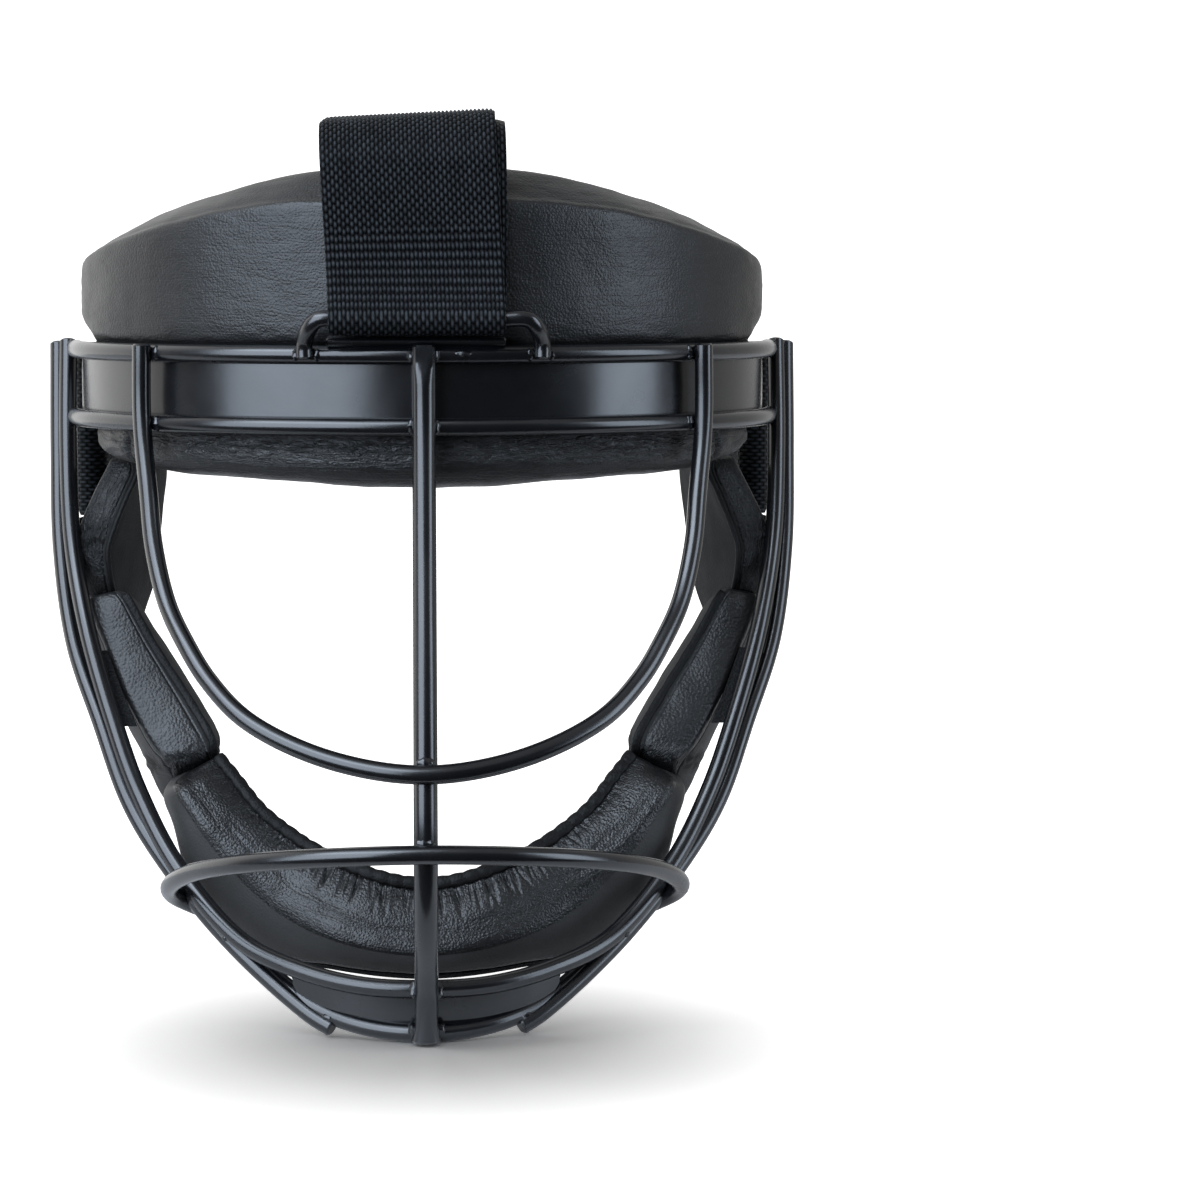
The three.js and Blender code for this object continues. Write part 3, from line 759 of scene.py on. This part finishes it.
def sewPad(name, rings, side, held, form):
    # a closed pad that swells between the lines where it is held
    caps = 3
    full = domedEnds(rings, caps, form["rise"])
    piece = makePiece(name, [closedLoft(full)], leathers[form["leather"]])
    sides = np.concatenate([side[:1].repeat(caps, 0), side, side[-1:].repeat(caps, 0)])
    setPlaces(piece, "padPlace", placesOf(full, sides))
    weights = np.zeros(len(piece.data.vertices))
    first = caps * full.shape[1]
    weights[first:first + held.size] = held.ravel()
    swellWithCloth(piece, weights, form["pressure"], form["most"])
    subdivide(piece, form["finer"])
    return piece


def sewBlock(name, rows, form):
    # a pad from rows of corners, held along the corners of its section
    rings, around = padGrid(rows, form)
    side = np.tile(around, (len(rings), 1))
    return sewPad(name, rings, side, 0.9 * (side % 1 == 0), form)


def lowerBy(piece, depth):
    setPoints(piece, getPoints(piece) - getNormals(piece) * depth[:, None])


binding = {"sides": 16, "uneven": (0.6, 1.4), "level": 0.65, "sway": 0.5, "beat": 0.41}


def boundEdge(path, wideWay, wide, thick, bunch, pitch, seed):
    # a bound edge along a path: a flat oval in section, drawn into bunches along its length
    ahead = unit(np.gradient(path, axis=0))
    wideWay = unit(wideWay - ahead * (wideWay * ahead).sum(1, keepdims=True))
    flatWay = np.cross(ahead, wideWay)
    draw = np.random.default_rng(seed)
    step = np.linalg.norm(np.diff(path, axis=0), axis=1).mean()
    phase = np.cumsum(draw.uniform(*binding["uneven"], len(path))) * math.pi * step / pitch
    swell = 1 + bunch * (np.abs(np.sin(phase)) - binding["level"])
    lean = bunch * binding["sway"] * np.sin(phase * binding["beat"] + seed)
    turns = np.linspace(0, 2 * math.pi, binding["sides"], endpoint=False)
    rings = []
    for p, w, f, s, o in zip(path, wideWay, flatWay, swell, lean):
        rings.append([p + w * (wide * math.cos(t) * s + o) + f * thick * math.sin(t) * s for t in turns])
    return closedLoft(rings)


def addEdges(piece, part):
    # a bound edge or piping joined to its pad, in the darker leather
    edges = makePiece(piece.name + "_edges", [part], leathers["edge_leather"])
    number = len(piece.data.materials)
    edges.data.polygons.foreach_set("material_index", [number] * len(edges.data.polygons))
    whole = bmesh.new()
    whole.from_mesh(piece.data)
    whole.from_mesh(edges.data)
    piece.data.materials.append(leathers["edge_leather"])
    whole.to_mesh(piece.data)
    whole.free()
    bpy.data.objects.remove(edges)


def lineWalls(piece, name, walls):
    # another leather on the given sides of the section
    side = getPlaces(piece, "padPlace")[:, 2]
    number = len(piece.data.materials)
    piece.data.materials.append(leathers[name])
    for face in piece.data.polygons:
        middle = side[list(face.vertices)].mean()
        if face.material_index == 0 and walls[0] < middle < walls[1]:
            face.material_index = number


def finishPad(piece, node):
    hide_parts(node)
    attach(piece, "root")
    print(piece.name, "has", len(piece.data.vertices), "points")


browPadRows = [
    # angle, top, crease, bottom, share of the full thickness
    (0, 61.5, 52.5, -27.2, 1), (11, 61.2, 52.3, -27, 1), (22, 59.6, 51.6, -26, 1),
    (33, 56.4, 49.4, -25.2, 1), (43, 53, 46.4, -24.8, 1), (52, 50.2, 43.6, -24.2, 1),
    (59, 48, 41.4, -23.2, 1), (66, 45.6, 39.3, -22.2, 1), (69, 44.6, 38.5, -19.6, 1),
    (71.5, 43.8, 37.7, -12.4, 0.99), (79, 41, 35.4, -10.4, 0.88), (84, 36, 31, -9.4, 0.6),
]
browPad = {
    "inset": 3.1, "thick": 23.9, "cuts": 190, "soften": 2.4, "rise": 1.6, "finer": 1, "pressure": 2.6,
    "most": 1.1, "leather": "pad_leather",
}
browWrinkles = {
    "fold": 57.5, "foldDepth": 1.3, "foldWide": 0.7, "foldLean": 0.04, "drawnIn": 0.055, "fine": 0.12,
    "pressed": 0.5, "pressedWide": 3.5, "lumps": 0.25, "crackAbove": 0.03, "crackBelow": 0.07,
    "crinkle": 0.6, "foldCrinkle": 0.5,
}
browSpans = [4, 4, 5, 6, 3, 3, 6, 6, 2, 2, 2, 5, 3, 4, 5, 5, 8, 6, 5, 4]  # cuts between the profile's points
plateEdge = brow["railHeight"] + cage["rod"]


def browProfile(top, crease, bottom):
    # share of the thickness and height, from the roll below up the front and down the back
    edge = plateEdge
    rollTop = max(-edge + 2, bottom + 4)
    roll = -0.03 if bottom < -edge - 4 else 0.02
    return np.array([
        (0.45, bottom), (0.14, bottom + 1.4), (roll, (bottom + rollTop) / 2 - 2), (0, rollTop), (0, edge - 1),
        (-0.06, edge + 1.6), (-0.085, edge + 6), (-0.085, (edge + crease) / 2), (-0.08, crease - 1.6),
        (-0.055, crease - 0.3), (0.005, crease + 0.5), (0.06, crease + 1.6), (0.36, top - 1.2), (0.5, top),
        (0.76, top - 1.8), (0.95, top - 8), (1, top - 18), (1, 0), (0.97, bottom + 10), (0.8, bottom + 2.4),
        (0.45, bottom),
    ])


def makeBrowPad():
    pad = browPad
    table = np.array(browPadRows, float)
    rings, held, side = [], [], []
    for angle in np.linspace(-table[-1, 0], table[-1, 0], pad["cuts"]):
        near = abs(angle) + np.linspace(-pad["soften"], pad["soften"], 7)
        top, crease, full = (np.interp(near, table[:, 0], table[:, k]).mean() for k in (1, 2, 4))
        bottom = np.interp(abs(angle), table[:, 0], table[:, 3])
        profile = browProfile(top, crease, bottom)
        profile[:, 0] *= pad["thick"] * full
        line = smoothPath(profile, cuts=browSpans)[:-1]
        rings.append([browPoint(angle, pad["inset"] + depth, z) for depth, z in line])
        pressed = (line[:, 0] < 1) & (np.abs(line[:, 1]) < plateEdge)
        creased = (np.abs(line[:, 1] - crease) < 0.9) & (line[:, 0] < 3)
        held.append(np.maximum(pressed, creased * 0.95))
        side.append(np.full(len(line), angle))
    piece = sewPad("brow_cushion", np.array(rings), np.array(side), np.array(held), pad)
    wrinkleBrow(piece, browWrinkles)
    finishPad(piece, "brow_pad")


def wrinkleBrow(piece, look):
    # a fold across the roll, crinkles where the plate presses on it, and the ends drawn in over the rails
    points, turn = getPoints(piece), np.abs(getPlaces(piece, "padPlace")[:, 2])
    z = points[:, 2]
    bare = np.abs(z) > plateEdge
    low = np.clip((-plateEdge - z) / 3, 0, 1)
    under = np.exp(-((z + plateEdge + look["pressedWide"]) / look["pressedWide"]) ** 2)
    raised = np.clip((z - plateEdge + 2) / 2, 0, 1) * np.clip((plateEdge + 9 - z) / 9, 0, 1) ** 2
    points[:, 0] *= 1 - look["drawnIn"] * raised * np.clip((turn - 70) / 10, 0, 1)
    setPoints(piece, points)
    off = turn - look["fold"]
    depth = look["foldDepth"] * low * np.exp(-((off - z * look["foldLean"]) / look["foldWide"]) ** 2)
    drawn = points * np.array([0.16, 0.16, 0.62])
    depth += (look["fine"] + look["pressed"] * under) * noiseAt(drawn, 1, 4) * bare
    lowerBy(piece, depth + look["lumps"] * noiseAt(points, 13, 3) * (np.abs(z) > plateEdge + 2))
    creased = np.exp(-(off / 2.5) ** 2) * low
    cracked = np.where(z > 0, look["crackAbove"], look["crackBelow"]) * bare
    crinkled = (look["crinkle"] * under * (off < 0) + look["foldCrinkle"] * creased) * bare
    setPlaces(piece, "padFold", np.stack([cracked, 0 * cracked, crinkled], 1))


makeBrowPad()

templeRows = [
    # outer, inner, inner back, outer back
    ((92, 51, -22), (84.5, 49, -22), (79.4, 86, -22.6), (87, 87, -22.6)),
    ((93.4, 49.6, -25), (83.2, 46, -25.4), (77.3, 90.6, -26.4), (88.4, 91, -26.4)),
    ((97.8, 48.6, -33), (86.2, 44.4, -32.9), (77.8, 90, -35), (90, 90.6, -35)),
    ((101.4, 47.8, -41), (89.4, 42.6, -41), (78.5, 87.4, -43), (91, 88, -43)),
    ((102.4, 47.4, -49), (91.6, 41.6, -48.5), (79.2, 84, -52), (91.6, 85, -52)),
    ((101.4, 47, -56), (91.2, 42.6, -55.6), (80.8, 79.4, -62), (91.6, 80.6, -61)),
    ((99.8, 48, -62.4), (90.6, 45.6, -61.4), (83.6, 73, -70.6), (91, 75, -69)),
]
cheekRows = [
    ((97.8, 42, -62), (88.6, 40.8, -59.8), (87.4, 63, -63.4), (98.4, 60, -65.4)),
    ((97, 39.4, -65.2), (86.4, 38.8, -61.6), (84.8, 65, -65.8), (99.6, 58.6, -69)),
    ((91.4, 33.4, -77.6), (79.2, 35, -73.6), (78.2, 61, -75.4), (97, 55.6, -80)),
    ((84.5, 27, -92.3), (67.4, 27, -90.8), (66.6, 53, -92.2), (90.4, 49, -95)),
    ((77.2, 21.4, -104), (60.9, 21.4, -101.4), (60.4, 47, -103), (84.2, 43, -106.6)),
    ((73.2, 20.2, -107.8), (60.3, 21.8, -104.6), (60.6, 46, -106), (81.4, 40, -112)),
    ((71.4, 25.4, -112.6), (59.8, 27, -108.6), (61, 45, -109.4), (78.8, 37.4, -117.4)),
    ((69.8, 28.4, -118.8), (62.8, 34, -116.4), (64.2, 45, -117), (75.6, 37, -122.6)),
]
chinRows = [
    # hem on the face side, seam in front, base towards the rods, heel behind
    ((58.5, 20.4, -105.6), (70.8, 17.6, -112.6), (73.6, 31, -113.2), (62.4, 33, -110.4)),
    ((54.3, 17, -110.4), (70.4, 10, -114), (76, 27, -117.6), (63, 35, -112.6)),
    ((46.7, 11, -118.8), (63.6, 4.6, -122.4), (72.8, 15.6, -127), (58, 33, -118)),
    ((37, 6, -126.2), (55.5, 1, -131), (68.8, 13, -141), (51, 27, -131)),
    ((27, 1, -131.2), (41.6, -5, -143.4), (50, 6, -160.2), (40, 20, -148)),
    ((14, -4.2, -135.8), (23.5, -14, -152.6), (27.6, -4.6, -163), (21, 11.6, -156)),
    ((0, -5, -138.2), (0, -16.6, -156.4), (0, -10.6, -164.4), (0, 9, -159.6)),
]


blockPads = {
    "temple": {
        "rows": templeRows, "cuts": 32, "round": 0.15, "swell": 0.4, "rise": 0.5, "leather": "temple_leather",
        "edge": (0.8, 0.8), "folds": (0.6, 0.13), "onFront": True, "streaks": 0.14,
        "walls": {"pad_lining": (0.985, 2.99)},
    },
    "cheek": {
        "rows": cheekRows, "cuts": 44, "round": 0.13, "swell": 0.5, "rise": 0.3, "leather": "cheek_leather",
        "edge": (1.2, 0.5), "folds": (0.82, 0.045), "onFront": False, "streaks": 0,
        # the cheek's outer wall takes the lighter wall leather, a painted light
        "walls": {"pad_lining": (0.985, 2.99), "painted_light_wall_leather": (3.02, 3.99)},
    },
}
blockForm = {"perSide": 9, "perCorner": 5, "finer": 2, "pressure": 2.2, "most": 0.8}
piping = {"cuts": 90, "inset": 0.3, "bunch": 0.12, "pitch": 9}
blockFolds = {
    "deep": 1.0, "size": 3.1, "lumps": 0.25, "lumpSize": 8, "seam": 0.93, "seamWide": 0.03, "seamDeep": 0.5,
}


def makeBlockPads():
    # the temple and cheek pads of both sides, piped along the inner edge of their front face
    for name, block in blockPads.items():
        form = {**block, **blockForm}
        for number, side in enumerate(("left", "right")):
            rows = np.array(form["rows"], float) if side == "left" else mirrored(form["rows"])
            piece = sewBlock(name + "_cushion_" + side, rows, form)
            crumple(piece, form, number)
            for wall, sides in form["walls"].items():
                lineWalls(piece, wall, sides)
            outer, inner = (evenPath(rows[:, k], piping["cuts"]) for k in (0, 1))
            path = inner - unit(inner - outer) * piping["inset"]
            sizes = (*form["edge"], piping["bunch"], piping["pitch"], number)
            addEdges(piece, boundEdge(path[3:-2], (inner - outer)[3:-2], *sizes))
            finishPad(piece, name + "_pad_" + side)


def crumple(piece, form, seed):
    # small folds where the block bends, and a seam sunk beside the piping
    points = getPoints(piece)
    along, side = getPlaces(piece, "padPlace").T[[0, 2]]
    front = (side > 0) & (side < 1)
    middle, reach = form["folds"]
    where = np.exp(-((along / along.max() - middle) / reach) ** 2) * (front if form["onFront"] else 1)
    fold = blockFolds
    depth = fold["deep"] * where * noiseAt(points, fold["size"], seed + 5)
    depth += fold["lumps"] * noiseAt(points, fold["lumpSize"], seed + 9)
    depth += fold["seamDeep"] * front * np.exp(-((side - fold["seam"]) / fold["seamWide"]) ** 2)
    lowerBy(piece, depth)
    streaks = front * form["streaks"]
    setPlaces(piece, "padFold", np.stack([streaks, 0.4 * streaks, 0.8 * where + 1.2 * streaks], 1))


makeBlockPads()

chinPad = {
    "cuts": 290, "round": 0.18, "swell": 0.8, "rise": 0.4, "perSide": 10, "perCorner": 5, "finer": 1,
    "pressure": 2.2, "most": 0.9, "leather": "chin_leather", "outerWall": (1.03, 1.99),
}
chinHem = {"cuts": 360, "inset": 1.0, "wide": 1.9, "thick": 1.25, "bunch": 0.16, "pitch": 4.5, "seed": 4}
chinGathers = {
    "count": 78, "ends": 12, "stray": 2, "reach": (0.35, 0.75), "lean": 4, "wide": (0.4, 0.7),
    "cut": (0.45, 1), "deep": 0.9, "most": 1.2, "seed": 11, "wrinkles": 0.35, "lumps": 0.25, "crack": 0.11,
    "pucker": 0.3,
}


def makeChinPad():
    rows = bothHalves(chinRows)
    piece = sewBlock("chin_cushion", rows, chinPad)
    gatherChin(piece, chinGathers)
    # the chin pad's outer wall takes the lighter wall leather, a painted light
    lineWalls(piece, "painted_light_wall_leather", chinPad["outerWall"])
    hem, seam = (evenPath(rows[:, k], chinHem["cuts"]) for k in (0, 1))
    path = hem - unit(hem - seam) * chinHem["inset"]
    sizes = (chinHem[key] for key in ("wide", "thick", "bunch", "pitch", "seed"))
    addEdges(piece, boundEdge(path, hem - seam, *sizes))
    finishPad(piece, "chin_pad")


def gatherChin(piece, gathers):
    # creases that run down from the hem, each with its own place, length and lean,
    # and long wrinkles by the seam
    points = getPoints(piece)
    along, side = getPlaces(piece, "padPlace").T[[0, 2]]
    down = np.where(side <= 1, side, 2)
    draw = np.random.default_rng(gathers["seed"])
    spots = np.linspace(along.min() + gathers["ends"], along.max() - gathers["ends"], gathers["count"])
    spots = spots + draw.uniform(-gathers["stray"], gathers["stray"], gathers["count"])
    middle = (along.min() + along.max()) / 2
    depth = np.zeros(len(points))
    for spot in spots:
        taut = np.interp(abs(spot - middle), (40, 75), (1, 0.4))  # the hem pulls most at the chin
        reach = draw.uniform(*gathers["reach"]) * taut
        lean = draw.uniform(-gathers["lean"], gathers["lean"])
        wide = draw.uniform(*gathers["wide"])
        fade = np.clip(1 - down / reach, 0, 1) * np.clip(down / 0.06, 0.2, 1)
        cut = draw.uniform(*gathers["cut"]) * taut
        depth += cut * fade ** 0.6 * np.exp(-((along - spot - lean * down) / wide) ** 2)
    stretched = np.stack([along / 9, down * 11, np.zeros(len(points))], 1)
    near = np.exp(-((down - 0.85) / 0.2) ** 2)
    depth = gathers["deep"] * np.minimum(depth, gathers["most"])
    depth += gathers["wrinkles"] * near * noiseAt(stretched, 1, 2)
    lowerBy(piece, depth + gathers["lumps"] * noiseAt(points, 9, 6))
    puckered = gathers["pucker"] * np.clip(1 - down / 0.5, 0, 1)
    setPlaces(piece, "padFold", np.stack([gathers["crack"] * near, puckered, 0 * near], 1))


makeChinPad()


# Webbing

topStrap = [
    (-1.4, -10, 71.8), (-1.4, -19.6, 70), (-1.3, -25.4, 64.6), (-1.2, -27, 54), (-1.2, -27, 40),
    (-1.4, -27.2, 28), (-1.6, 3.5, 0), (-1.7, 2.475, -2.475), (-1.7, 0, -3.5), (-1.7, -2.475, -2.475),
    (-1.7, -3.5, 0), (-2, -32, 27), (-2.5, -29.7, 38), (-3.5, -29.5, 56), (-4, -28, 66),
    (-4.2, -21, 72.6), (-4, -6, 74.6), (-3, 40, 75.6), (-1.5, 90, 70), (-0.5, 130, 55), (0, 156, 32),
    (0, 165.6, 4), (0, 166.2, -14),
]
bailTurn = {"first": 6, "last": 10}  # these rows are given from the bail
backStrap = [
    (96.4, 112, -11.4), (96.8, 92, -14), (95.9, 77, -16.3), (96.925, 74.525, -16.3), (99.4, 73.5, -16.3),
    (101.875, 74.525, -16.3), (102.9, 77, -16.3), (99.8, 92, -14), (99, 112, -11.4), (88, 136, -6.8),
    (62, 158, -2.5), (30, 168, -0.6), (0, 170, 0),
]
topWeb = {"to": 100.0, "fade": 12.0, "step": 0.42, "coarse": 2.2, "askew": 0.062, "opened": 0.78}


def yarnHeight(across, along, opened):
    # staggered floats: each yarn is a row of long bumps, half a bump on from its neighbours,
    # and less than that where the ribs open
    yarn = across / webSizes["yarn"]
    rib = along / webSizes["rib"] + 0.5 * (1 - opened) * (np.floor(yarn) % 2)
    return np.sin(math.pi * (yarn % 1)) ** 0.7 * np.sin(math.pi * (rib % 1)) ** 0.6


def band(path, across, relief, opened):
    # a woven band along a path: rounded selvedges, and two faces of columns between them
    half, thick = webSizes["width"] / 2, webSizes["thick"] / 2
    perYarn = 4 if relief.max() > 0 else 1
    outer = np.linspace(-1, 1, int(webSizes["width"] * perYarn / webSizes["yarn"]) + 1)
    inner = np.linspace(1, -1, 25)
    ahead = unit(np.gradient(path, axis=0))
    across = unit(np.broadcast_to(across, path.shape))
    out = unit(np.cross(across, ahead))
    along = lengthsAlong(path)

    def level(columns):
        full = np.sqrt(np.clip(1 - np.abs(columns) ** 18, 0, 1))
        return thick * (webSizes["selvedge"] + (1 - webSizes["selvedge"]) * full)

    rings, places = [], []
    for p, a, o, v, r, w in zip(path, across, out, along, relief, opened):
        yarns = yarnHeight(outer * half, v, w) - 0.6
        raised = level(outer) + r * webSizes["relief"] * yarns * (np.abs(outer) < 0.985)
        columns = np.concatenate([outer, inner]) * half
        heights = np.concatenate([raised, -level(inner)])
        rings.append(p + a * columns[:, None] + o * heights[:, None])
        marks = np.concatenate([np.full(len(outer), r * (1 + w)), np.zeros(len(inner))])
        places.append(np.stack([columns, np.full(len(columns), v), marks], 1))
    return np.array(rings), np.concatenate(places)


def topStrapBand():
    # modelled yarns where the front shows them, and coarse steps elsewhere
    rows = np.array(topStrap, float)
    turn = slice(bailTurn["first"], bailTurn["last"] + 1)
    rows[turn, 1] += bailY
    rows[turn, 2] += strapBail["top"]
    fine = smoothPath(rows, 0.3)
    along = lengthsAlong(fine)
    front = along[np.argmin(fine[:, 1] + 100 * (fine[:, 2] > strapBail["top"]))]
    to, step, coarse = (topWeb[key] for key in ("to", "step", "coarse"))
    cuts = np.concatenate([
        np.arange(0, front, coarse), np.arange(front, front + to, step),
        np.arange(front + to, along[-1], coarse), along[-1:],
    ])
    path = np.stack([np.interp(cuts, along, fine[:, k]) for k in range(3)], 1)
    relief = np.interp(cuts - front, (0, 1, to - topWeb["fade"], to), (0, 1, 1, 0))
    # the fold at the top lies askew: its right side is the higher one
    folded = np.interp(path[:, 2], (30, 68), (0, 1)) * np.interp(path[:, 1], (0, 60), (1, 0))
    askew = topWeb["askew"] * folded
    across = np.stack([np.ones(len(path)), 0 * askew, askew], 1)
    opened = topWeb["opened"] * np.interp(path[:, 2], (40, 47), (1, 0))
    return band(path, across, relief, opened)


def backStrapBand():
    path = smoothPath(bothHalves(backStrap), 1.6)
    plain = np.zeros(len(path))
    return band(path, np.array([0, 0, 1.0]), plain, plain)


def makeStraps():
    straps = {"top_strap": topStrapBand(), "back_strap": backStrapBand()}
    for name, (rings, places) in straps.items():
        piece = makePiece(name + "_webbing", [closedLoft(rings)], strapWeb)
        setPlaces(piece, "webPlace", places)
        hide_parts(name)
        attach(piece, "root")
        print(piece.name, "has", len(piece.data.polygons), "faces")


makeStraps()


# Hook tape

def makeTape(piece, node, rings):
    strip = makePiece(piece, [closedLoft(rings)], tape, sharp=40)
    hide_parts(node)
    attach(strip, "root")


def makeTapes():
    cheek = {"wide": 5.2, "thick": 1.5, "cuts": 24}
    path = evenPath([(91.8, 34.6, -77), (87.4, 30, -88), (83, 26, -98)], cheek["cuts"])
    wide, thick = np.array([cheek["wide"], 0, 0]), np.array([0, cheek["thick"], 0])
    rings = np.stack([path, path + thick, path + wide + thick, path + wide], 1)
    makeTape("cheek_tape_strip_left", "cheek_tape_left", rings)
    makeTape("cheek_tape_strip_right", "cheek_tape_right", mirrored(rings))
    strip = {"from": 0.12, "to": 0.7, "lift": 0.9, "thick": 1.2, "start": 50, "cuts": 150}
    rows = bothHalves(chinRows)
    inside = slice(strip["start"], -strip["start"])
    hem, base, heel = (evenPath(rows[:, k], strip["cuts"])[inside] for k in (0, 2, 3))
    along = unit(heel - base)
    out = (base + heel) / 2 - hem
    out = unit(out - along * (out * along).sum(1, keepdims=True))
    first = base + (heel - base) * strip["from"] + out * strip["lift"]
    second = base + (heel - base) * strip["to"] + out * strip["lift"]
    rings = np.stack([first, first + out * strip["thick"], second + out * strip["thick"], second], 1)
    makeTape("chin_tape_strip", "chin_tape", rings)
    print("hook tape ready")


makeTapes()


# Camera, light and floor

view = {"focal": 3600.0, "frame": 1200.0, "distance": 980.0, "drop": 5.2, "rise": 56.9, "left": 424.0}


def setCamera():
    drop = math.radians(view["drop"])
    ahead = np.array([0, math.cos(drop), -math.sin(drop)])
    up = np.array([0, math.sin(drop), math.cos(drop)])
    place = np.array([0, brow["front"], 0]) - ahead * view["distance"] - up * view["rise"]
    yaw = math.atan((view["frame"] / 2 - view["left"]) / view["focal"])
    camera = bpy.data.objects.new("camera", bpy.data.cameras.new("camera"))
    camera.data.lens = view["focal"] / view["frame"] * camera.data.sensor_width
    camera.data.clip_end = 50
    camera.location = place * mm
    camera.rotation_euler = (math.pi / 2 - drop, 0, -yaw)
    scene.collection.objects.link(camera)
    scene.camera = camera


def addLight(name, place, target, size, power, colour):
    data = bpy.data.lights.new(name, "AREA")
    data.shape = "RECTANGLE"
    data.size, data.size_y = size
    data.energy = power
    data.color = colour
    light = bpy.data.objects.new(name, data)
    light.location = place
    light.rotation_euler = (Vector(target) - Vector(place)).to_track_quat("-Z", "Y").to_euler()
    scene.collection.objects.link(light)
    return light


def setLight():
    cool = (0.74, 0.85, 1.0)
    softboxes = [
        # place, target, size, power
        addLight("left_softbox", (-0.9, -1.04, 0.62), (0, 0, -0.05), (1.45, 1.9), 48, cool),
        addLight("right_softbox", (1.38, -0.59, 0.3), (0, 0, -0.05), (0.62, 1.3), 12, cool),
        addLight("top_softbox", (-0.6, -0.7, 1.25), (0, 0, -0.12), (1.3, 0.9), 10, cool),
    ]
    world = bpy.data.worlds.new("studio")
    scene.world = world
    world.use_nodes = True
    tree = world.node_tree
    back = next(n for n in tree.nodes if n.type == "BACKGROUND")
    back.inputs["Color"].default_value = (1, 1, 1, 1)
    # a white sweep behind the mask, brighter on the left, a paler ceiling and a dark room in front
    split = addNode(tree, "SeparateXYZ", {0: addNode(tree, "TexCoord").outputs["Generated"]})
    sweep = spread(tree, split.outputs["Y"], (-0.3, 0.3), (0.05, 1.0))
    sweep = addMath(tree, "MULTIPLY", sweep, spread(tree, split.outputs["X"], (-0.9, 0.9), (1.5, 0.45)))
    sweep = addMath(tree, "MULTIPLY", sweep, spread(tree, split.outputs["Z"], (0.6, 1.0), (1.0, 0.55)))
    ceiling = spread(tree, split.outputs["Z"], (0.3, 0.8), (0.0, 0.35))
    seen = addMath(tree, "MULTIPLY", addNode(tree, "LightPath").outputs["Is Camera Ray"], 1.6)
    bright = addMath(tree, "MAXIMUM", addMath(tree, "MAXIMUM", sweep, ceiling), seen)
    tree.links.new(bright, back.inputs["Strength"])
    scene.view_settings.view_transform = "Standard"
    return softboxes


def flatSheet(name, low, high, level, material):
    mesh = bpy.data.meshes.new(name)
    corners = [(low[0], low[1]), (high[0], low[1]), (high[0], high[1]), (low[0], high[1])]
    mesh.from_pydata([(x, y, level) for x, y in corners], [], [(0, 1, 2, 3)])
    mesh.materials.append(material)
    sheet = bpy.data.objects.new(name, mesh)
    scene.collection.objects.link(sheet)
    sheet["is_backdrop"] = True
    return sheet


def setFloor(softboxes):
    # white paper lit by the sweep alone, so that it takes a soft contact shadow by the foot; further off it
    # also glows, a painted light that fades the shadow out and keeps it white
    paper = {
        "half": 8.0, "foot": (0, -0.03, -0.18), "near": 0.02, "far": 0.17, "glow": 0.95,
        "white": (1.45, 1.45, 1.45),
    }
    material, tree, shader = newMaterial("pale_floor")
    ends = {0: placeCoordinates(tree), 1: paper["foot"]}
    away = addNode(tree, "VectorMath", ends, operation="DISTANCE").outputs["Value"]
    feed(tree, shader.inputs, {
        "Base Color": (*paper["white"], 1),
        "Roughness": 0.9,
        "Specular IOR Level": 0.1,
        "Emission Color": (1, 1, 1, 1),
        # the glow rises with the distance from the foot: painted light over the floor's shadow
        "Emission Strength": spread(tree, away, (paper["near"], paper["far"]), (0.0, paper["glow"])),
    })
    half, low = paper["half"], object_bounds()[0][2]
    floor = flatSheet("floor", (-half, -half), (half, half), low, material)
    spared = bpy.data.collections.new("spared")
    spared.objects.link(floor)
    spared.collection_objects[0].light_linking.link_state = "EXCLUDE"
    for light in softboxes:
        light.light_linking.receiver_collection = spared
    # a table just under it throws light back up, and only the mask sees that
    table = {"low": (-0.6, -0.09), "high": (0.6, 0.6), "under": 0.0005, "white": (0.62, 0.61, 0.6)}
    material, tree, shader = newMaterial("pale_table")
    feed(tree, shader.inputs, {"Base Color": (*table["white"], 1), "Roughness": 0.9})
    bounce = flatSheet("table", table["low"], table["high"], low - table["under"], material)
    bounce.visible_camera = False
    for sort in ("diffuse", "glossy", "transmission", "shadow", "volume_scatter"):
        setattr(floor, "visible_" + sort, False)


setCamera()
setFloor(setLight())
print("camera, light and floor ready")
